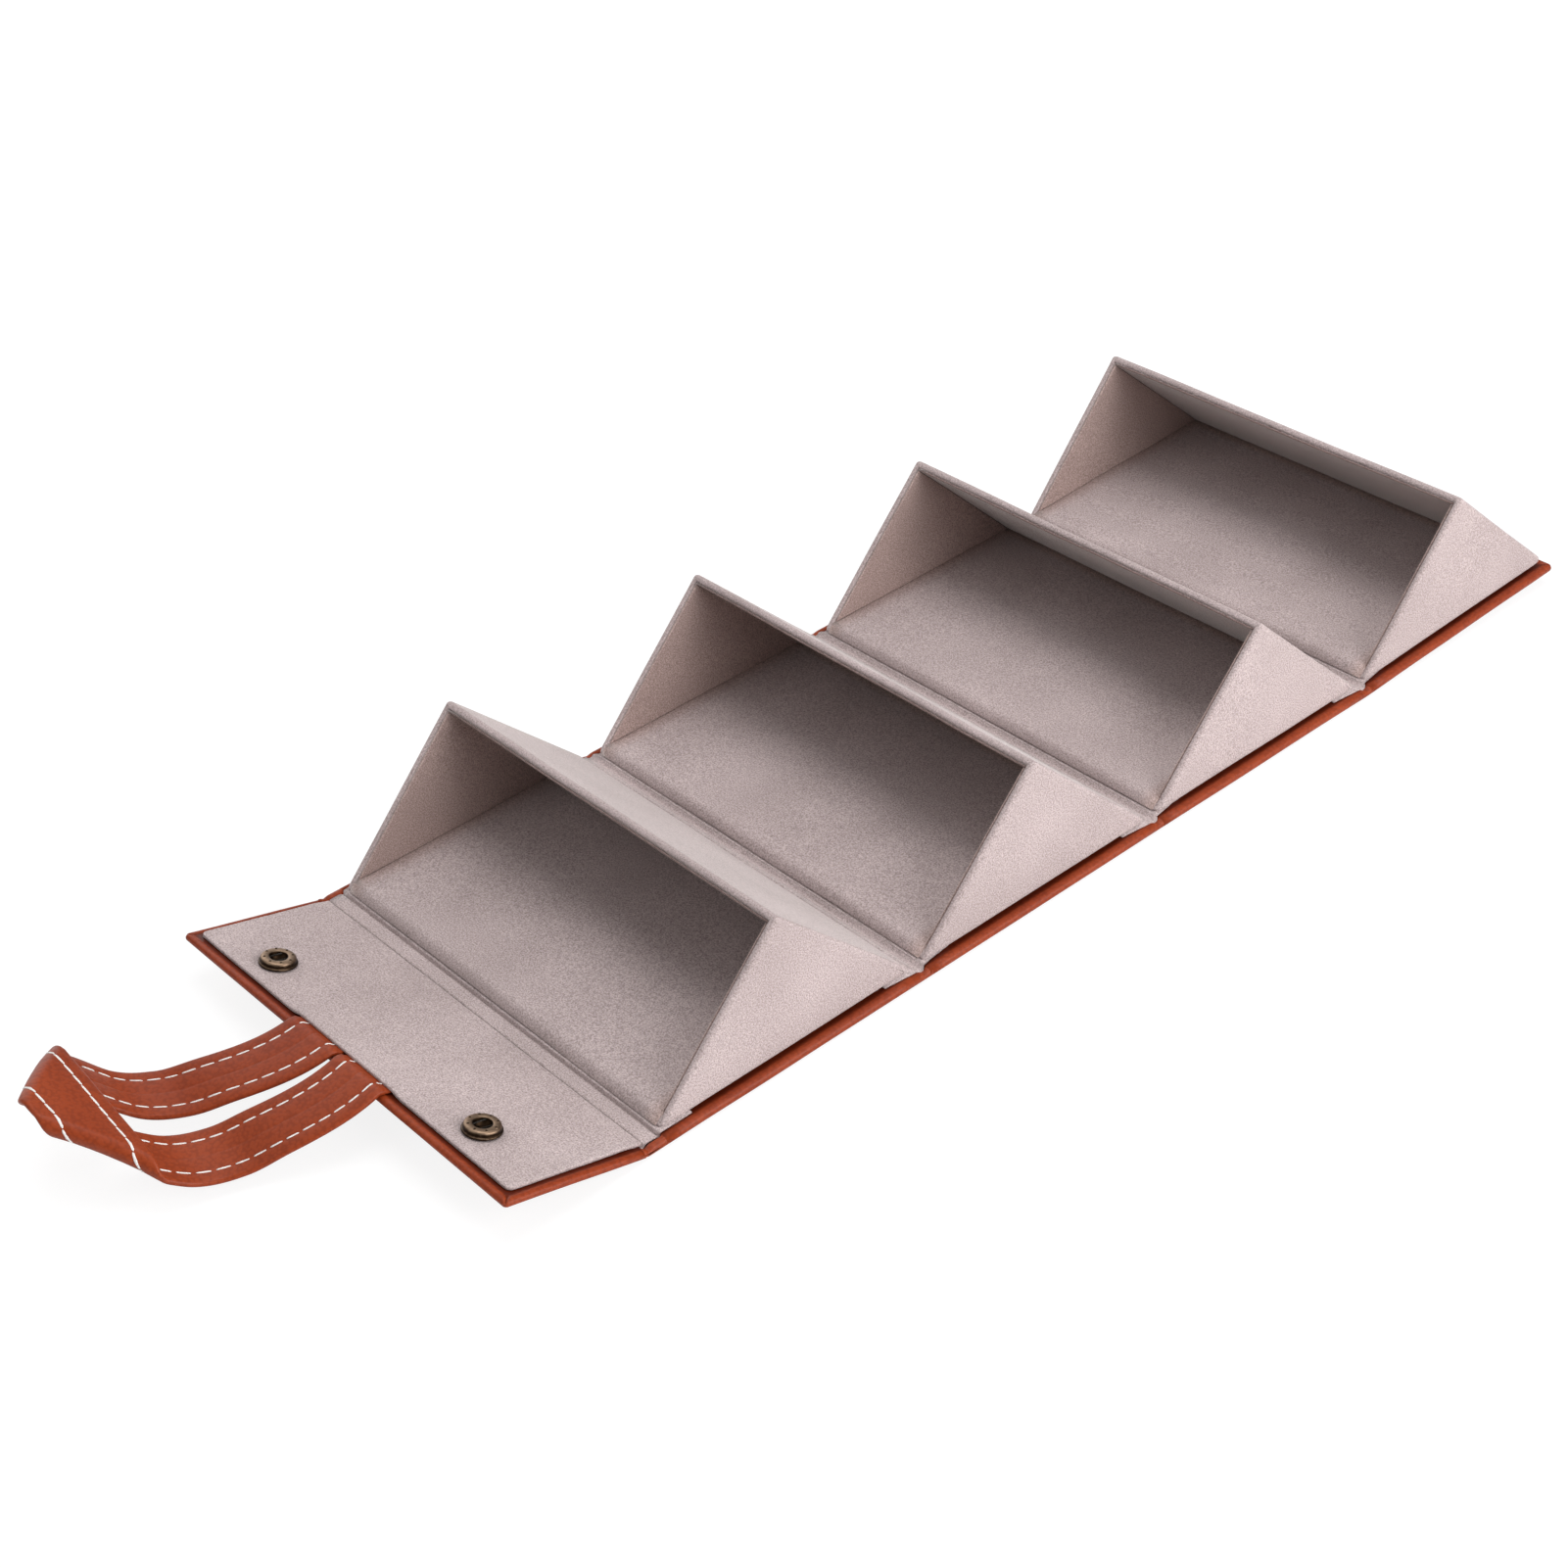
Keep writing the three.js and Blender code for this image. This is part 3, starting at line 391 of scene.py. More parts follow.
def slice_up(bm, step):
    for axis in range(3):
        places = [vert.co[axis] for vert in bm.verts]
        low, high = min(places), max(places)
        count = max(round((high - low) / step), 1)
        direction = Vector([float(index == axis) for index in range(3)])
        for index in range(1, count):
            point = direction * (low + (high - low) * index / count)
            bmesh.ops.bisect_plane(bm, geom=bm.verts[:] + bm.edges[:] + bm.faces[:],
                                   plane_co=point, plane_no=direction)


def soften(bm, amount, wavelength, seed):
    for vert in bm.verts:
        vert.co += amount * noise.noise_vector(vert.co / wavelength + Vector((seed, 0, 0)))


# %% Tray wraps
WRAP_CELL = 7 * MM
HEEL_ROUND = 5.0 * MM
END_ROUND = 1.5 * MM
RIM_ROUND = 0.8 * MM
UNEVEN_VELVET = (0.22 * MM, 45 * MM, 7)


def join_rings(bm, first, second):
    for index in range(len(first)):
        after = (index + 1) % len(first)
        bm.faces.new((first[index], first[after], second[after], second[index]))


def hollow_wedge():
    bm = bmesh.new()
    skins = []
    for inset in (0, TRAY_WALL):
        ends = []
        for side in (-1, 1):
            x = side * (TRAY_HALF - inset)
            ends.append([bm.verts.new((x, y, z)) for y, z in tray_section(inset, 0)])
        skins.append(ends)
        left, right = ends
        bm.faces.new(left)
        bm.faces.new(right)
        bm.faces.new((left[0], left[1], right[1], right[0]))
        bm.faces.new((left[1], left[2], right[2], right[1]))
    outer, inner = ((left[0], right[0], right[2], left[2]) for left, right in skins)
    join_rings(bm, outer, inner)
    return bm, set(inner)


def outer_edges(bm):
    ends = [edge for edge in bm.edges
            if abs(sum(vert.co.x for vert in edge.verts)) > 2 * TRAY_HALF - TOUCHING]
    ridge = TRAY_BASE / 2
    return ends + edges_along_x(bm, lambda place: place.y < TOUCHING or place.z > ridge - TOUCHING)


def tray_piece(number, part, bm, *nodes):
    bm.transform(tray_place(number))
    soften(bm, *UNEVEN_VELVET)
    nodes = [f"tray_{number}_{node}" for node in nodes]
    piece = finished(f"tray_{number}_{part}", bm, velvet, "grey_velvet", *nodes)
    even = piece.modifiers.new("even shading", "WEIGHTED_NORMAL")
    even.weight = 80
    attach(piece, f"tray_{number}")


def tray_wrap(number):
    bm, rim = hollow_wedge()
    round_edges(bm, edges_along_x(bm, lambda place: place.y > TRAY_BASE - TRAY_WALL), HEEL_ROUND, 5)
    round_edges(bm, [edge for edge in bm.edges if set(edge.verts) <= rim], RIM_ROUND, 2)
    round_edges(bm, outer_edges(bm), END_ROUND, 4)
    slice_up(bm, WRAP_CELL)
    tray_piece(number, "wrap", bm, "outer_velvet",
               "base_board", "back_board", "left_end_board", "right_end_board")


for number in TRAYS:
    tray_wrap(number)

# %% [markdown]
# ## The trays' linings
# Inside, four cut pieces of velvet are glued to the base, the back and the ends; the base's runs on over the
# front edge. Their edges are slightly rolled, so thin dark lines show where they meet and just below the rim.
# Four thin slabs with rounded edges give those lines by themselves. The velvet paints the backs darker and
# the ends warmer as painted shade, and the base darker towards the back.

# %% Lining slabs
LINING = 0.8 * MM
GLUE_GAP = 0.03 * MM
LINING_SEAT = TRAY_WALL + GLUE_GAP
LINING_LIP = 0.2 * MM
TOE_ROUND = 1.3 * MM


def loft(rings):
    bm = bmesh.new()
    rows = [[bm.verts.new(point) for point in ring] for ring in rings]
    for first, second in zip(rows, rows[1:]):
        join_rings(bm, first, second)
    bm.faces.new(rows[0])
    bm.faces.new(rows[-1])
    return bm


def thin_slab(bm, corners, direction):
    bottom = [bm.verts.new(corner) for corner in corners]
    top = [bm.verts.new(Vector(corner) + direction) for corner in corners]
    bm.faces.new(bottom)
    bm.faces.new(top)
    join_rings(bm, bottom, top)
    upper = set(top)
    return [edge for edge in bm.edges if set(edge.verts) <= upper]


def base_lining(half, heel):
    level = LINING_SEAT + LINING
    section = [(level - LINING_LIP, level), (LINING_LIP, 2 * LINING_LIP), (2 * TRAY_WALL / 3, TRAY_WALL / 3),
               heel, (heel[0] - LINING, level)]
    bm = loft([[(x, y, z) for y, z in section] for x in (-half, half)])
    over_toe = edges_along_x(bm, lambda place: place.y < level and place.z > level - LINING_LIP)
    round_edges(bm, over_toe, TOE_ROUND, 4)
    return bm


# %% Tray linings
LINING_DROP = 0.5 * MM
LINING_ROUND = 0.35 * MM
SHADE_MARGIN = 0.3 * MM


# Where a lining gets painted shade: on its back and the base beside it, and a lighter one on its ends.
def painted_shade_at(place):
    reach = LINING_SEAT + LINING + SHADE_MARGIN
    if (TRAY_BASE - place.y - place.z) / ROOT2 < reach:
        return BACK_MARK
    return END_MARK if TRAY_HALF - abs(place.x) < reach else 0.0


def tray_lining(number):
    half = TRAY_HALF - LINING_SEAT
    _, heel, ridge = tray_section(LINING_SEAT, LINING_DROP)
    bm = base_lining(half, heel)
    foot = (heel[0] - LINING, heel[1] + LINING)
    back = [(-half, *foot), (half, *foot), (half, *ridge), (-half, *ridge)]
    edges = thin_slab(bm, back, Vector((0, -1, -1)).normalized() * LINING)
    for side in (-1, 1):
        end = [(side * half, *point) for point in tray_section(LINING_SEAT + LINING, LINING_DROP)]
        edges += thin_slab(bm, end, Vector((-side * LINING, 0, 0)))
    round_edges(bm, edges, LINING_ROUND, 2)
    slice_up(bm, WRAP_CELL)
    # Painted shade: the velvet paints the back darker and the ends warmer by this number.
    store_number(bm, "inner_shade", painted_shade_at)
    tray_piece(number, "lining", bm, "inner_velvet")


for number in TRAYS:
    tray_lining(number)

# %% [markdown]
# ## The cover panels
# Under each tray lies a board with the leather wrapped round its sides, which gives the row its bead-like
# brown edge. A block with bevelled edges would look like plastic: the wrapped edge swells a little and dips
# behind the bead. So a panel is a skin of two heights, above and below, that depend only on how far in a
# point lies from the nearest wrapped edge. At a corner the two beads then meet in a mitre, and a narrow dip
# along it stands for the pleat into which the spare leather is pressed.

# %% Wrapped edges
BEAD_DIP = 0.25 * MM
NOT_WRAPPED = 1.0


def limited(low, high, value):
    return max(low, min(high, value))


def smooth(low, high, value):
    share = limited(0.0, 1.0, (value - low) / (high - low))
    return share * share * (3 - 2 * share)


def behind_bead(inset, thickness):
    return smooth(0.7 * thickness, 1.1 * thickness, inset)


def bead_heights(inset, thickness):
    radius = thickness / 2
    swell = math.sqrt(max(radius ** 2 - max(radius - inset, 0) ** 2, 0))
    dip = BEAD_DIP * behind_bead(inset, thickness)
    return radius + swell - dip, radius - swell


def from_ends(y, low, high, wrapped_ends):
    at_low, at_high = wrapped_ends
    return min(y - low[1] if at_low else NOT_WRAPPED, high[1] - y if at_high else NOT_WRAPPED)


# %% Wrapped boards
BEAD_STEPS = (0, 0.02, 0.08, 0.2, 0.38, 0.62, 0.9, 1.2, 1.5, 1.9, 2.4)
STEP_ALONG = 8 * MM
STEP_ACROSS = 20 * MM
PLEAT_DEPTH = 1.4 * MM
PLEAT_WIDTH = 0.3 * MM
COVER_CORNER = 1.6 * MM
WELD = 0.005 * MM
UNEVEN_LEATHER = (0.15 * MM, 30 * MM, 3)


def spaced(low, high, step, wrapped_low, wrapped_high, thickness):
    edge = [share * thickness / 2 for share in BEAD_STEPS]
    start = [low + inset for inset in edge] if wrapped_low else [low]
    finish = [high - inset for inset in reversed(edge)] if wrapped_high else [high]
    count = max(round((finish[0] - start[-1]) / step), 1)
    middle = [start[-1] + (finish[0] - start[-1]) * index / count for index in range(1, count)]
    return start + middle + finish


def board_points(x, y, low, high, wrapped_ends, thickness):
    from_side = high[0] - abs(x)
    from_end = from_ends(y, low, high, wrapped_ends)
    inset = min(from_side, from_end)
    corner = Vector((max(COVER_CORNER - from_side, 0), max(COVER_CORNER - from_end, 0)))
    if corner.x > 0 and corner.y > 0:
        inset = max(COVER_CORNER - corner.length, 0)
    pulled = corner.normalized() * max(corner.length - COVER_CORNER, 0)
    at_low = wrapped_ends[0] and y - low[1] < COVER_CORNER
    across = x - math.copysign(pulled.x, x)
    along = y + (pulled.y if at_low else -pulled.y)
    above, below = bead_heights(inset, thickness)
    off_mitre = (from_side - from_end) / PLEAT_WIDTH
    pressed = smooth(1.2 * thickness, 0.6 * thickness, inset)
    above -= min(PLEAT_DEPTH * math.exp(-off_mitre ** 2) * pressed, (above - below) / 2)
    return Vector((across, along, low[2] + above)), Vector((across, along, low[2] + below))


def wrapped_board(name, low, high, wrapped_ends, thickness, place, *nodes):
    # How far into the crease behind the bead a point of the upper face lies; the leather paints shade there.
    def crease_shade_at(point):
        inset = min(high[0] - abs(point.x), from_ends(point.y, low, high, wrapped_ends))
        return behind_bead(inset, thickness) if point.z > low[2] + thickness / 2 else 0.0

    rings = []
    for y in spaced(low[1], high[1], STEP_ALONG, *wrapped_ends, thickness):
        row = [board_points(x, y, low, high, wrapped_ends, thickness)
               for x in spaced(low[0], high[0], STEP_ACROSS, True, True, thickness)]
        rings.append([above for above, below in row] + [below for above, below in reversed(row)])
    bm = loft(rings)
    bmesh.ops.remove_doubles(bm, verts=bm.verts[:], dist=WELD)
    store_number(bm, "crease", crease_shade_at)
    soften(bm, *UNEVEN_LEATHER)
    bm.transform(place)
    return finished(name, bm, leather, "tan_leather", *nodes)


# %% Cover panels
panel_low, panel_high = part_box("panel_1_leather")
COVER_HALF = panel_high.x
COVER_TOP = panel_high.z
PANEL_PAST_TRAY = 0.3 * MM
PANEL_SETBACK = HINGE_GAP / 2 - PANEL_PAST_TRAY
END_MARGIN = 0.8 * MM


def cover_panel(number):
    front = panel_low.y
    back = TRAY_FRONT + (number - 1) * PITCH + TRAY_BASE + END_MARGIN
    last = number == TRAYS[-1]
    if number > 1:
        front = joint_at[f"fold_{number - 1}_{number}"].y + PANEL_SETBACK
    if not last:
        back = joint_at[f"fold_{number}_{number + 1}"].y - PANEL_SETBACK
    nodes = [f"panel_{number}_leather", f"panel_{number}_board"]
    piece = wrapped_board(f"panel_{number}_cover", (-COVER_HALF, front, 0), (COVER_HALF, back, 0),
                          (False, last), COVER_TOP, tilted(number), *nodes)
    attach(piece, f"tray_{number}")


for number in TRAYS:
    cover_panel(number)

# %% [markdown]
# ## The folds
# Between two panels the leather runs on without a board and is pressed up into the gap, and a strip of velvet
# lies over it and under both trays. When the case rolls up, these strips bend. A smooth curve through a few
# points gives each strip's section, and it is drawn out along the fold in short steps.

# %% Bands
BAND_STEP = 6 * MM


def curve_through(points, steps):
    last = len(points) - 1
    found = []
    for step in range(steps + 1):
        along = step / steps * last
        index = min(int(along), last - 1)
        share = along - index
        before, start, end, after = (Vector(points[limited(0, last, index + offset)])
                                     for offset in (-1, 0, 1, 2))
        lead, trail = (end - before) / 2, (after - start) / 2
        found.append((2 * start - 2 * end + lead + trail) * share ** 3
                     + (3 * end - 3 * start - 2 * lead - trail) * share ** 2 + lead * share + start)
    return found


def band_outline(points, thickness, steps):
    middle = curve_through(points, steps)
    upper, lower = [], []
    for index, place in enumerate(middle):
        heading = middle[min(index + 1, steps)] - middle[max(index - 1, 0)]
        normal = Vector((-heading.y, heading.x)).normalized() * thickness / 2
        upper.append(place + normal)
        lower.append(place - normal)
    return upper + lower[::-1]


def band_along_x(outline, half, widen, turn):
    count = round(2 * half / BAND_STEP)
    rings = []
    for step in range(count + 1):
        share = 2 * step / count - 1
        rings.append([turn(Vector((share * (half + widen(y)), y, z))) for y, z in outline])
    return loft(rings)


# %% Fold leather with beaded sides
LEATHER_SKIN = 0.7 * MM
BEAD_INNER = (2.4 * MM, 3.8 * MM)


def fold_leather(points, bead_at, turn):
    outline = band_outline(points, LEATHER_SKIN, steps=18)
    count = len(outline) // 2
    rings = []
    for x in spaced(-COVER_HALF, COVER_HALF, BAND_STEP, True, True, COVER_TOP):
        inset = COVER_HALF - abs(x)
        inner = smooth(*BEAD_INNER, inset)
        ring = []
        for index, (y, z) in enumerate(outline):
            above, below = bead_heights(inset, bead_at(y))
            lifted = (COVER_TOP - bead_at(y)) / 3
            side = lifted + (above if index < count else below)
            ring.append(turn(Vector((x, y, side + (z - side) * inner))))
        rings.append(ring)
    bm = loft(rings)
    bmesh.ops.remove_doubles(bm, verts=bm.verts[:], dist=WELD)
    soften(bm, *UNEVEN_LEATHER)
    return bm


def fold_pieces(name, skin, strip, pivot):
    parts = [("leather", skin, leather, "tan_leather"), ("lining", strip, velvet, "grey_velvet")]
    for part, bm, material, slot in parts:
        piece = finished(f"{name}_{part}_strip", bm, material, slot, f"{name}_{part}")
        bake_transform(piece)


# %% Folds between the trays
LEATHER_ARCH = 0.5 * MM
LEATHER_LAP = 1 * MM
STRIP_LEVEL = 3.3 * MM
STRIP = 0.5 * MM
STRIP_UNDER_TRAY = 12 * MM
STRIP_DIP = 1.2 * MM
STRIP_PEEP = 1.3 * MM
PEEP_END = (1 * MM, 3 * MM)
BEAD_PINCH = 0.28
FOLD_BEAD = 0.995


def from_pivot(pivot, points):
    return [(pivot.y + y, z) for y, z in points]


def mirrored(points):
    return points + [(-y, z) for y, z in reversed(points)]


def fold_strips(number):
    name = f"fold_{number}_{number + 1}"
    pivot = joint_at[name]
    angle = LAST_TILT if number + 1 == TRAYS[-1] else 0
    reach = HINGE_GAP / 2 + STRIP_UNDER_TRAY

    def turn(point):
        if point.y <= pivot.y:
            return point
        return Matrix.Rotation(angle, 3, "X") @ (point - pivot) + pivot

    def bead_at(y):
        return COVER_TOP * (FOLD_BEAD - BEAD_PINCH * smooth(PANEL_SETBACK, 0, abs(y - pivot.y)))

    def peep(y):
        before = smooth(-reach, 0, y - pivot.y)
        after = smooth(*PEEP_END, y - pivot.y)
        return STRIP_PEEP * (before - 2 * after)

    low = LEATHER_SKIN / 2
    skin_half = [(-PANEL_SETBACK - LEATHER_LAP, low), (-PANEL_SETBACK / 2, low + LEATHER_ARCH)]
    skin = fold_leather(from_pivot(pivot, mirrored(skin_half)), bead_at, turn)
    over = STRIP_LEVEL + STRIP / 2
    strip_half = [(-reach, over), (-PANEL_SETBACK - 2 * STRIP, over), (-PANEL_SETBACK, over),
                  (-PANEL_SETBACK / 3, over - STRIP_DIP)]
    outline = band_outline(from_pivot(pivot, mirrored(strip_half)), STRIP, steps=28)
    strip = band_along_x(outline, TRAY_HALF, peep, turn)
    fold_pieces(name, skin, strip, pivot)


for number in TRAYS[:-1]:
    fold_strips(number)

# %% [markdown]
# ## The flap
# The flap is one more wrapped board, springing up a little from its fold. Its leather shows as a border round
# the velvet. It is made lying flat and then turned into place, so everything on the flap can be placed by its
# distance out from the fold and its height above the fold's axis.

# %% Flap leather
FLAP_TILT = math.radians(-joints["flap_fold"]["range_deg"][0])
FLAP_LENGTH = 52.8 * MM
FLAP_START = 1.2 * MM
FLAP_TOP = 1.3 * MM
flap_pivot = joint_at["flap_fold"]
flap_place = Matrix.Translation(flap_pivot) @ Matrix.Rotation(-FLAP_TILT, 4, "X")


def on_flap(x, out, height):
    return flap_place @ Vector((x, -out, height))


flap_low = (-COVER_HALF, -FLAP_LENGTH, -FLAP_TOP)
flap_high = (COVER_HALF, -FLAP_START, FLAP_TOP)
flap_cover = wrapped_board("flap_cover", flap_low, flap_high, (True, False), 2 * FLAP_TOP, flap_place,
                           "flap_leather", "flap_board")
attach(flap_cover, "flap")

# %% [markdown]
# ## The flap's lining
# A pad of velvet on thin card covers the flap's inner face. It thins towards the fold, rises over the strap's
# ends, which are glued under it, and is pulled down slightly round the snap fasteners. All of this is a
# height that depends on the place on the pad, so the pad is a skin over a grid of such heights.

# %% Heights of the pad
PAD_START = 0.35 * MM
PAD_FACE = 2.5 * MM
PAD_THINNING = 0.35 * MM
THIN_UNTIL = 7.5 * MM
SNAP_OUT = 37.8 * MM
SNAP_X = sum(value.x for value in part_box("snap_right_socket")) / 2
SNAP_PULL = 0.35 * MM
PULL_FADES = (5.5 * MM, 11 * MM)
PAD_ROUGHNESS = 0.12 * MM
ROUGH_WAVE = 14 * MM
STRAP_LIFT = 0.9 * MM
LIFT_SIDES = (24.6 * MM, 29 * MM)
LIFT_RISES = (38 * MM, 48 * MM)


def strap_lift(x, out):
    beside = 1 - smooth(*LIFT_SIDES, abs(x))
    return STRAP_LIFT * beside * smooth(*LIFT_RISES, out)


def pad_height(x, out):
    thin = PAD_THINNING * (1 - smooth(PAD_START, THIN_UNTIL, out))
    from_snap = math.hypot(abs(x) - SNAP_X, out - SNAP_OUT)
    pulled = SNAP_PULL * (1 - smooth(*PULL_FADES, from_snap))
    rough = PAD_ROUGHNESS * noise.noise(Vector((x, out, 0)) / ROUGH_WAVE)
    return PAD_FACE - thin - pulled + rough


print(f"pad: {pad_height(0, SNAP_OUT) / MM:.2f} mm high")

# %% Flap lining
PAD_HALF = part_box("flap_lining")[1].x
PAD_END = 49.0 * MM
PAD_CORNER = 2.2 * MM
PAD_ROUND = 0.5 * MM
PAD_THICKNESS = 1.05 * MM
PAD_LOWEST = 0.5 * MM


def fall_off(distance):
    gone = max(0.0, 1 - distance / PAD_ROUND)
    return PAD_ROUND * (1 - math.sqrt(1 - gone * gone))


def pad_steps(low, high, count):
    edges = [share * PAD_ROUND for share in (0, 0.15, 0.45, 1.0, 2.0)]
    middle_low, middle_high = low + 3 * PAD_ROUND, high - 3 * PAD_ROUND
    middle = [middle_low + (middle_high - middle_low) * index / count for index in range(count + 1)]
    return [low + edge for edge in edges] + middle + [high - edge for edge in reversed(edges)]


pad_rings = []
for out in pad_steps(PAD_START, PAD_END, 30):
    from_corner = max(0.0, out - (PAD_END - PAD_CORNER))
    half = PAD_HALF - PAD_CORNER + math.sqrt(max(PAD_CORNER ** 2 - from_corner ** 2, 0))
    from_end = min(PAD_END - out, out - PAD_START)
    upper, lower = [], []
    for x in pad_steps(-half, half, 70):
        drop = max(fall_off(from_end), fall_off(half - abs(x)))
        height = pad_height(x, out)
        lift = strap_lift(x, out)
        upper.append(on_flap(x, out, height - drop + lift))
        lower.append(on_flap(x, out, max(height - PAD_THICKNESS, PAD_LOWEST) + lift))
    pad_rings.append(upper + lower[::-1])
pad = finished("flap_pad", loft(pad_rings), velvet, "grey_velvet", "flap_lining")
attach(pad, "flap")

# %% [markdown]
# ## The flap's fold
# The flap's fold is wider than the others. The velvet runs from under the flap's pad across a narrow level
# band, dips into a groove in front of the first tray and goes under it. Like the other folds it is drawn out
# along X.

# %% Flap fold
FLAP_STRIP_HALF = TRAY_HALF + 0.2 * MM
FLAP_FOLD_BEAD = 0.988
FLAP_TURN_HALF = 0.8 * MM


def in_metres(points):
    return [(y * MM, z * MM) for y, z in points]


def flap_turn(point):
    angle = -FLAP_TILT * smooth(FLAP_TURN_HALF, -FLAP_TURN_HALF, point.y - flap_pivot.y)
    return Matrix.Rotation(angle, 3, "X") @ (point - flap_pivot) + flap_pivot


def flap_bead(y):
    offset = y - flap_pivot.y
    plain = 2 * FLAP_TOP + (COVER_TOP - 2 * FLAP_TOP) * smooth(-1 * MM, 1 * MM, offset)
    return plain * (FLAP_FOLD_BEAD - BEAD_PINCH * smooth(1.8 * MM, 0, abs(offset)))


over = (STRIP_LEVEL + STRIP / 2) / MM
strip_points = in_metres([(-2.2, 1.1), (-0.8, 1.2), (0.1, 1.5), (0.9, 2.5), (1.8, 2.7), (4.4, 2.7),
                          (5.3, 2.5), (6.0, 1.9), (6.45, 2.3), (6.75, over - 0.2), (7.4, over),
                          (12, over), (19, over)])
skin_points = in_metres([(-2.0, 0.35), (0, 0.8), (5.0, 0.4), (7.5, 0.36)])
skin = fold_leather(from_pivot(flap_pivot, skin_points), flap_bead, flap_turn)
outline = band_outline(from_pivot(flap_pivot, strip_points), STRIP, steps=44)
strip = band_along_x(outline, FLAP_STRIP_HALF, lambda y: 0, flap_turn)
fold_pieces("flap_fold", skin, strip, flap_pivot)

# %% [markdown]
# ## The snap fasteners
# A socket is a turned ring: a flange on the velvet, a rounded shoulder, a top that slopes in to the mouth,
# and a ring of small dots. A domed cap on the flap's outside holds it. Spin turns a profile, which lists
# radius and height in millimetres, round an axis. The points on the shoulder and on the dome get a high wear,
# and the brass material shows them bright.

# %% Turned pieces
def spun(profile, place):
    bm = bmesh.new()
    verts = [bm.verts.new((radius * MM, 0, height * MM)) for radius, height in profile]
    edges = [bm.edges.new(pair) for pair in zip(verts, verts[1:])]
    bmesh.ops.spin(bm, geom=verts + edges, cent=(0, 0, 0), axis=(0, 0, 1), angle=2 * math.pi,
                   steps=56, use_merge=True)
    bmesh.ops.remove_doubles(bm, verts=bm.verts[:], dist=0.001 * MM)
    bm.transform(place)
    return bm


def brass_piece(name, node, bm, place, wear_at):
    back = place.inverted()

    def worn(point):
        local = back @ point
        return wear_at(math.hypot(local.x, local.y) / MM, local.z / MM)

    store_number(bm, "wear", worn)
    return finished(name, bm, brass, "antique_brass", node)


# %% Sockets and caps
SOCKET_PROFILE = [(1.65, 0.02), (6.1, 0.02), (6.3, 0.2), (6.3, 0.55), (6.15, 0.75), (5.85, 0.82),
                  (5.78, 0.95), (5.78, 1.5), (5.7, 1.9), (5.5, 2.2), (5.2, 2.42), (4.8, 2.54), (4.3, 2.58),
                  (3.6, 2.55), (3.2, 2.48), (2.98, 2.32), (2.9, 2.1), (2.85, 1.2), (2.3, 1.0), (2.3, 0.5),
                  (1.65, 0.5), (1.65, 0.02)]
CAP_PROFILE = [(0, -1.7), (1.8, -1.66), (3.4, -1.52), (4.9, -1.2), (5.8, -0.85), (6.15, -0.55),
               (6.2, -0.35), (6.1, -0.15), (5.9, -0.1), (1.5, -0.1), (1.5, 4.3), (0.9, 4.3), (0.9, 0), (0, 0)]
SOCKET_SEAT = PAD_FACE + 0.1 * MM
DOTS = 8
DOT_RING = 4.5 * MM
DOT_HEIGHT = 2.2 * MM
DOT_RADIUS = 0.62 * MM


def socket_wear(radius, height):
    shoulder = smooth(1.6, 2.3, height) * smooth(2.9, 3.3, radius) * smooth(2.66, 2.6, height)
    flange = smooth(0.4, 0.7, height) * smooth(5.6, 6.2, radius)
    return 0.8 * shoulder + 0.3 * flange


def snap_socket(side, x):
    place = flap_place @ Matrix.Translation((x, -SNAP_OUT, SOCKET_SEAT))
    bm = spun(SOCKET_PROFILE, place)
    for index in range(DOTS):
        angle = 2 * math.pi * (index + 0.5) / DOTS
        centre = Vector((DOT_RING * math.cos(angle), DOT_RING * math.sin(angle), DOT_HEIGHT))
        bmesh.ops.create_icosphere(bm, subdivisions=2, radius=DOT_RADIUS,
                                   matrix=place @ Matrix.Translation(centre))
    piece = brass_piece(f"snap_{side}_socket_ring", f"snap_{side}_socket", bm, place, socket_wear)
    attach(piece, "flap")


def snap_cap(side, x):
    place = flap_place @ Matrix.Translation((x, -SNAP_OUT, -FLAP_TOP))
    piece = brass_piece(f"snap_{side}_cap_dome", f"snap_{side}_cap", spun(CAP_PROFILE, place), place,
                        lambda radius, height: 0.6 * smooth(-1.0, -1.6, height))
    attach(piece, "flap")


for side, sign in SNAP_SIDES.items():
    snap_socket(side, sign * SNAP_X)
    snap_cap(side, sign * SNAP_X)

# %% [markdown]
# ## The studs
# The studs that the sockets snap on to are on the outside of the last panel, so they are seen only from below
# or when the case is rolled up. They are turned in the same way, with a flange, a neck and a rounded head.

# %% Studs
STUD_PROFILE = [(0.95, -0.1), (3.85, -0.1), (4.0, -0.2), (3.9, -0.34), (3.6, -0.4), (1.5, -0.4),
                (1.28, -0.6), (1.25, -1.85), (1.6, -1.98), (1.85, -2.1), (1.82, -2.3), (1.6, -2.44),
                (1.3, -2.5), (0, -2.5)]


def snap_stud(side, x):
    low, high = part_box(f"snap_{side}_stud")
    last_panel = tilted(TRAYS[-1])
    flat = last_panel.inverted() @ ((low + high) / 2)
    place = last_panel @ Matrix.Translation((x, flat.y, 0))
    piece = brass_piece(f"snap_{side}_stud_turned", f"snap_{side}_stud", spun(STUD_PROFILE, place), place,
                        lambda radius, height: 0.7 * smooth(-1.9, -2.3, height))
    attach(piece, "tray_4")


for side, sign in SNAP_SIDES.items():
    snap_stud(side, sign * SNAP_X)

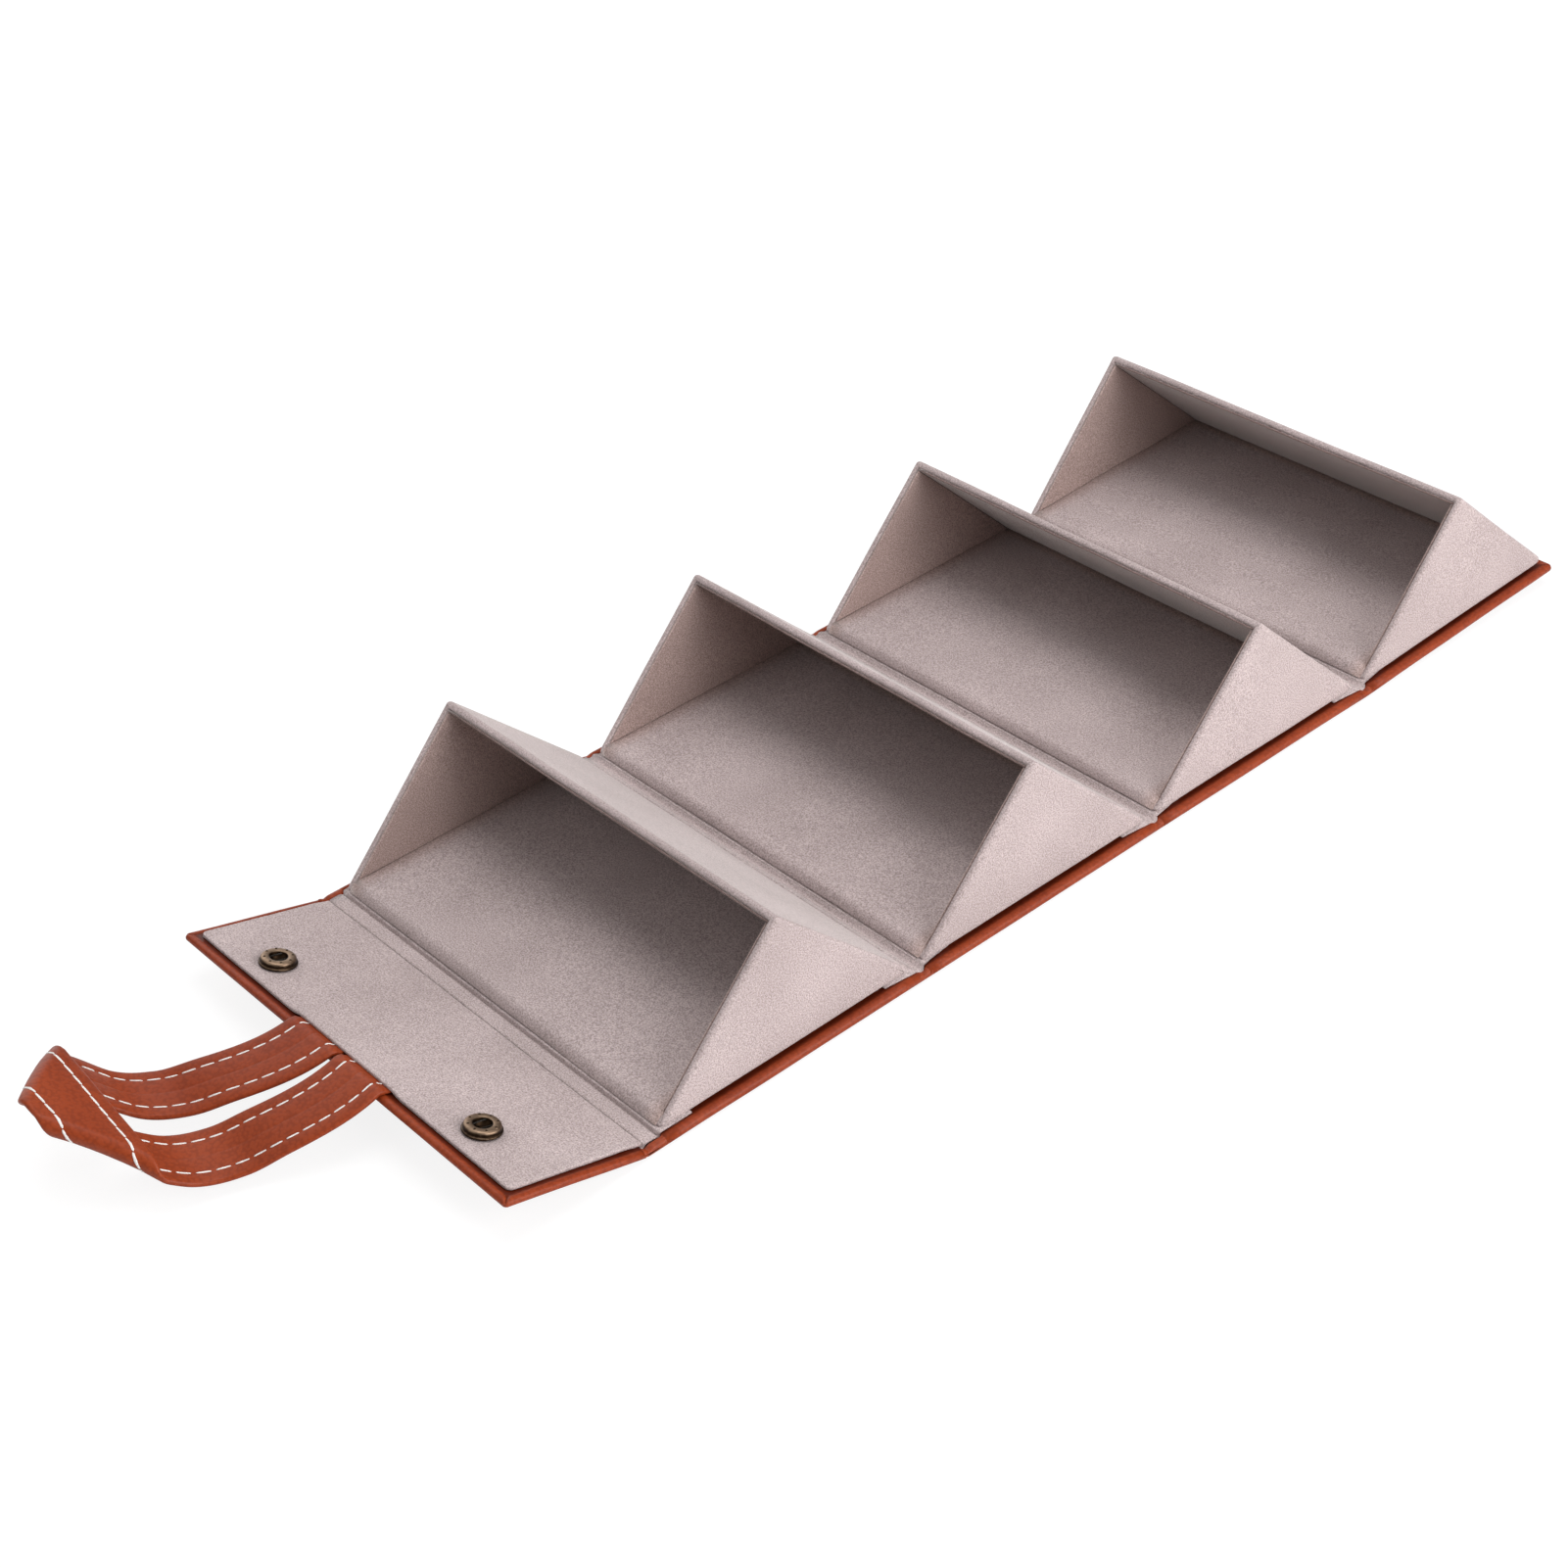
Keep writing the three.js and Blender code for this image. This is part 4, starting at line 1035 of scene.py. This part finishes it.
# %% [markdown]
# ## The strap's shape
# The strap is one flat strip. Both ends go under the flap's lining, side by side, and the far end is turned
# over by two soft diagonal folds, so its smooth face shows there and its seamed back shows on the legs. The
# shape is a formula: a point on the flat strip is rolled round a crease, turned, drawn in, twisted and laid
# along a side view. A formula can place anything on the strip, so the stitches use it too.

# %% Strap formula, in millimetres
STRAP_WIDTH = 24
STRAP_THICKNESS = 2
STRAP_REACH = 80.7
STRAP_CROSSING = 27
STRAP_FAR_ROLL = 2.5
STRAP_NEAR_ROLL = 2.3
STRAP_TURN = math.radians(5.6)
STRAP_SIDE_VIEW = [(0, 0), (0.15, -0.036), (0.35, -0.082), (0.5, -0.123),
                   (0.65, -0.103), (0.8, 0.008), (0.95, 0.094), (1.125, 0.156)]
STRAIGHT = 2 * STRAP_REACH


def leg_of(along):
    return -1 if along < 0 else 1


def roll_under(along, across, height):
    side = leg_of(along)
    radius = STRAP_FAR_ROLL if side < 0 else STRAP_NEAR_ROLL
    leg_angle = -side * STRAP_TURN
    crease = Vector((side * (1 - math.sin(leg_angle)), math.cos(leg_angle))).normalized()
    outward = Vector((side * abs(crease.y), -abs(crease.x)))
    past = (along - side * STRAP_CROSSING / 2) * outward.x + across * outward.y
    climb = smooth(-STRAP_CROSSING / 2, STRAP_CROSSING / 2, along)
    rise = 2 * STRAP_FAR_ROLL + 2 * (STRAP_NEAR_ROLL - STRAP_FAR_ROLL) * climb
    if past <= 0:
        return Vector((along, across, height + rise))
    turn = min(past / radius, math.pi)
    beyond = max(past - math.pi * radius, 0)
    shift = (radius + height) * math.sin(turn) - beyond - past
    return Vector((along + outward.x * shift, across + outward.y * shift,
                   rise - radius + (radius + height) * math.cos(turn)))


turn_strap = Matrix.Rotation(STRAP_TURN, 3, "Z")
leg_place = {side: turn_strap @ roll_under(side * STRAIGHT, 0, 0) for side in (-1, 1)}
side_view = [point * STRAP_REACH for point in curve_through(STRAP_SIDE_VIEW, steps=350)]
side_length = [0.0]
for first, second in zip(side_view, side_view[1:]):
    side_length.append(side_length[-1] + (second - first).length)
print(f"strap side view: {side_length[-1]:.1f} mm")

# %% Strap laid along its side view
STRAP_TWIST = math.radians(10.5)
STRAP_LEAN = 29
STRAP_GLUE = 0.05
LEG_OFFSET = 12.7
strap_level = FLAP_TOP + (STRAP_GLUE + STRAP_THICKNESS / 2) * MM
strap_origin = on_flap(0, FLAP_LENGTH, strap_level)


def along_side_view(out):
    index = limited(0, len(side_view) - 2, bisect.bisect(side_length, out) - 1)
    heading = (side_view[index + 1] - side_view[index]).normalized()
    return side_view[index] + heading * (out - side_length[index]), heading


def strap_point(along, across, height):
    point = turn_strap @ roll_under(along, across, height)
    out = STRAP_REACH - point.y
    grown = smooth(0, STRAP_REACH, out)
    leg = leg_of(along)
    on_leg = min(abs(along) / (STRAP_CROSSING / 2), 1.0)
    drawn = leg_place[leg].x - leg * LEG_OFFSET
    x = point.x - on_leg * drawn * (1 - limited(0.0, 1.0, out / STRAP_REACH))
    twist = STRAP_TWIST * grown
    level = point.z * math.cos(twist) - x * math.sin(twist)
    place, heading = along_side_view(out)
    sideways = x * math.cos(twist) + point.z * math.sin(twist) - STRAP_LEAN * grown
    local = Vector((sideways, -(place.x - heading.y * level), place.y + heading.x * level))
    return strap_origin + local * MM


print("strap's far end:", [round(value / MM) for value in strap_point(0, 0, 0)])

# %% Strap ends
LEG_START = 0.3
END_THINNED = 1.1
END_THINS = (1.4, 3.6)
leg_length = {side: STRAIGHT - (leg_place[side].y - (STRAP_REACH - LEG_START)) for side in (-1, 1)}


def tongue_point(along, across, height):
    side = leg_of(along)
    inside = abs(along) - leg_length[side] - LEG_START
    thickness = STRAP_THICKNESS - END_THINNED * smooth(*END_THINS, inside)
    sits = FLAP_TOP / MM + STRAP_GLUE + thickness / 2 * (1 - height / (STRAP_THICKNESS / 2))
    x = side * (LEG_OFFSET + across)
    return on_flap(x * MM, FLAP_LENGTH - inside * MM, sits * MM)


def on_strap(along, across, height):
    if abs(along) <= leg_length[leg_of(along)]:
        return strap_point(along, across, height)
    return tongue_point(along, across, height)


print(f"strap: {leg_length[-1] + leg_length[1]:.0f} mm of free strip")

# %% [markdown]
# ## The strap and its stitches
# The strip's section has rounded edges, a shallow dip along each row of stitches and a fine groove down the
# middle of its back, where the two folded edges meet. That section is carried along the formula. Near the
# folds its rows lean over to lie along the creases, or the tight folds would come out jagged. A stitch is a
# small rounded pill, placed in the dip: on the good face the stitches are long and slanted, as a saddler's
# are, and on the back they are short and straight.

# %% Section of the strap
STITCH_ROW = 7.1
STITCH_DIP = 0.15
STITCH_DIP_WIDTH = 0.55
SEAM_DEPTH = 0.1
SEAM_WIDTH = 0.35


def dip(across):
    return STITCH_DIP * math.exp(-((abs(across) - STITCH_ROW) / STITCH_DIP_WIDTH) ** 2)


def groove(across):
    return SEAM_DEPTH * math.exp(-(across / SEAM_WIDTH) ** 2)


edge = STRAP_THICKNESS / 2
inner = STRAP_WIDTH / 2 - edge
flat = [-inner, -9.4]
flat += [offset - STITCH_ROW for offset in (-1.0, -0.5, 0, 0.5, 1.0)]
flat += [-3.5, -0.9, -0.4, 0]
flat += [-place for place in flat[-2::-1]]
face = [(across, edge - dip(across)) for across in flat]
back = [(across, -edge + dip(across) + groove(across)) for across in reversed(flat)]
turns = [math.pi / 2 - math.pi * step / 6 for step in range(1, 6)]
right = [(inner + edge * math.cos(turn), edge * math.sin(turn)) for turn in turns]
left = [(-across, -height) for across, height in right]
strap_section = face + right + back + left
print("points in the strap's section:", len(strap_section))

# %% Strap
TONGUE = 16
STRAP_STEP = 1.0


def lean_with_crease(along, across):
    from_middle = abs(along) / (STRAP_CROSSING / 2)
    lean = min(from_middle, 1) * (1 - smooth(2, 5, from_middle))
    return along + math.copysign(lean, along) * across


low, high = -leg_length[-1] - TONGUE, leg_length[1] + TONGUE
count = round((high - low) / STRAP_STEP)
strap_rings = []
for step in range(count + 1):
    along = low + (high - low) * step / count
    strap_rings.append([on_strap(lean_with_crease(along, across), across, height)
                        for across, height in strap_section])
strap = finished("strap", loft(strap_rings), leather, "tan_leather",
                 "handle_strap", "strap_end_far", "strap_end_near")
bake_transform(strap)

# %% Stitches
STITCH_PITCH = 5.0
STITCH_LENGTH = {1: 4.9, -1: 3.9}
STITCH_WIDTH = {1: 0.8, -1: 0.62}
STITCH_SLANT = {1: 0.25, -1: 0.0}
STITCH_HEIGHT = 0.5
STITCH_SUNK = 0.1
PILL_BLUNTNESS = 0.45
ROW_RUNS_ON = 5


def stitch(bm, middle, row, face):
    pill = bmesh.ops.create_uvsphere(bm, u_segments=10, v_segments=6, radius=0.5)
    for vert in pill["verts"]:
        flat = vert.co.copy()
        reach = math.copysign(abs(2 * flat.x) ** PILL_BLUNTNESS, flat.x) / 2
        across = row + flat.y * STITCH_WIDTH[face] + reach * STITCH_SLANT[face]
        lift = face * (STRAP_THICKNESS / 2 - STITCH_SUNK) + flat.z * STITCH_HEIGHT
        vert.co = on_strap(middle + reach * STITCH_LENGTH[face], across, lift)


bm = bmesh.new()
low, high = -leg_length[-1] - ROW_RUNS_ON, leg_length[1] + ROW_RUNS_ON
for index in range(round((high - low) / STITCH_PITCH)):
    for row in (-STITCH_ROW, STITCH_ROW):
        for face in (-1, 1):
            stitch(bm, low + (index + 0.5) * STITCH_PITCH, row, face)
stitches = finished("strap_stitches", bm, thread, "tan_leather")
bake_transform(stitches)

# %% [markdown]
# ## Floor and light
# The photograph is a bright catalogue picture on white. A white floor and a surround that is paler above than
# at the sides give the even light, one large lamp from the right models the trays, and three softer ones keep
# the rest open. A floor as bright as the picture's would light the object too much from below, so only the
# camera sees the floor and the surround as nearly white.

# %% Floor
FLOOR_DROP = 0.2 * MM
FLOOR_HALF = 6
FLOOR_WHITE = (0.93, 0.93, 0.93)
FLOOR_WHITER = (0.95, 0.95, 0.95)
GLOW_SEEN = 0.8


def camera_sees(tree, lit, seen, share, output):
    mixed = tree.nodes.new("ShaderNodeMixShader")
    path = tree.nodes.new("ShaderNodeLightPath")
    amount = calculate(tree, "MULTIPLY", path.outputs["Is Camera Ray"], share)
    tree.links.new(amount, mixed.inputs["Fac"])
    tree.links.new(lit, mixed.inputs[1])
    tree.links.new(seen, mixed.inputs[2])
    tree.links.new(mixed.outputs["Shader"], tree.nodes[output].inputs["Surface"])


white_floor = bpy.data.materials.new("white floor")
white_floor.use_nodes = True
tree = white_floor.node_tree
shader = tree.nodes["Principled BSDF"]
cloudy = noise_at(tree, object_place(tree), 3, 2)
tree.links.new(ramp(tree, cloudy, (0.3, FLOOR_WHITE), (0.7, FLOOR_WHITER)), shader.inputs["Base Color"])
shader.inputs["Roughness"].default_value = 0.9
shader.inputs["Specular IOR Level"].default_value = 0.0
glow = add_node(tree, "ShaderNodeEmission", Strength=1.07)
camera_sees(tree, shader.outputs["BSDF"], glow.outputs["Emission"], GLOW_SEEN, "Material Output")

bm = bmesh.new()
bmesh.ops.create_grid(bm, x_segments=1, y_segments=1, size=FLOOR_HALF)
floor_mesh = bpy.data.meshes.new("floor")
bm.to_mesh(floor_mesh)
bm.free()
floor_mesh.materials.append(white_floor)
floor = bpy.data.objects.new("floor", floor_mesh)
floor.location.z = -FLOOR_DROP
bpy.context.collection.objects.link(floor)
print("floor:", 2 * FLOOR_HALF, "m square")

# %% Surround
SURROUND_SIDES = (0.4, 0.4, 0.4)

world = bpy.data.worlds.new("pale surround")
world.use_nodes = True
tree = world.node_tree
direction = tree.nodes.new("ShaderNodeSeparateXYZ")
tree.links.new(tree.nodes.new("ShaderNodeTexCoord").outputs["Generated"], direction.inputs["Vector"])
shade = ramp(tree, direction.outputs["Z"], (0.05, SURROUND_SIDES), (0.75, WHITE))
soft = tree.nodes["Background"]
soft.inputs["Strength"].default_value = 0.45
tree.links.new(shade, soft.inputs["Color"])
seen = add_node(tree, "ShaderNodeBackground", Color=(*WHITE, 1), Strength=1.0)
camera_sees(tree, soft.outputs["Background"], seen.outputs["Background"], 1.0, "World Output")
bpy.context.scene.world = world
bpy.context.scene.view_settings.view_transform = "Standard"
print("surround:", world.name)

# %% Lamps
ROW_MIDDLE = Vector((0, 0.1, 0.02))


def lamp(name, place, size, power):
    light = bpy.data.lights.new(name, "AREA")
    light.shape = "DISK"
    light.size = size
    light.energy = power
    holder = bpy.data.objects.new(name, light)
    holder.location = place
    holder.rotation_euler = (ROW_MIDDLE - Vector(place)).to_track_quat("-Z", "Y").to_euler()
    bpy.context.collection.objects.link(holder)
    print(f"lamp, {name}: {power} W, {size} m across")


lamp("key from the right", (1.3, 0.45, 0.55), 1.4, 22.5)
lamp("front", (-0.3, -1.2, 1.1), 1.0, 2.5)
lamp("top", (-0.1, 0.65, 3.0), 2.0, 35)
lamp("left", (-1.3, 0.2, 0.6), 1.4, 7)

# %% [markdown]
# ## Camera
# The camera's place and lens were worked out from the tray corners in the photograph: it looks down the row
# from the front right, slightly turned about its own axis.

# %% Camera
CAMERA_AZIMUTH = math.radians(52.042)
CAMERA_ELEVATION = math.radians(35.669)
CAMERA_ROLL = math.radians(-5.342)
CAMERA_DISTANCE = 0.966463
CAMERA_TARGET = Vector((-0.025386, 0.092387, 0))


def camera_turn():
    right = Vector((math.cos(CAMERA_AZIMUTH), math.sin(CAMERA_AZIMUTH), 0))
    level_back = Vector((right.y, -right.x, 0))
    back = level_back * math.cos(CAMERA_ELEVATION) + Vector((0, 0, math.sin(CAMERA_ELEVATION)))
    up = back.cross(right)
    rolled_right = right * math.cos(CAMERA_ROLL) + up * math.sin(CAMERA_ROLL)
    rolled_up = up * math.cos(CAMERA_ROLL) - right * math.sin(CAMERA_ROLL)
    return Matrix((rolled_right, rolled_up, back)).transposed().to_4x4()


camera = bpy.data.cameras.new("photo camera")
camera.sensor_width = 36
camera.lens = 63.91
camera.clip_end = 50
tripod = bpy.data.objects.new("photo camera", camera)
back_off = Matrix.Translation((0, 0, CAMERA_DISTANCE))
tripod.matrix_world = Matrix.Translation(CAMERA_TARGET) @ camera_turn() @ back_off
bpy.context.collection.objects.link(tripod)
bpy.context.scene.camera = tripod
print(f"camera: {camera.lens:.1f} mm lens")
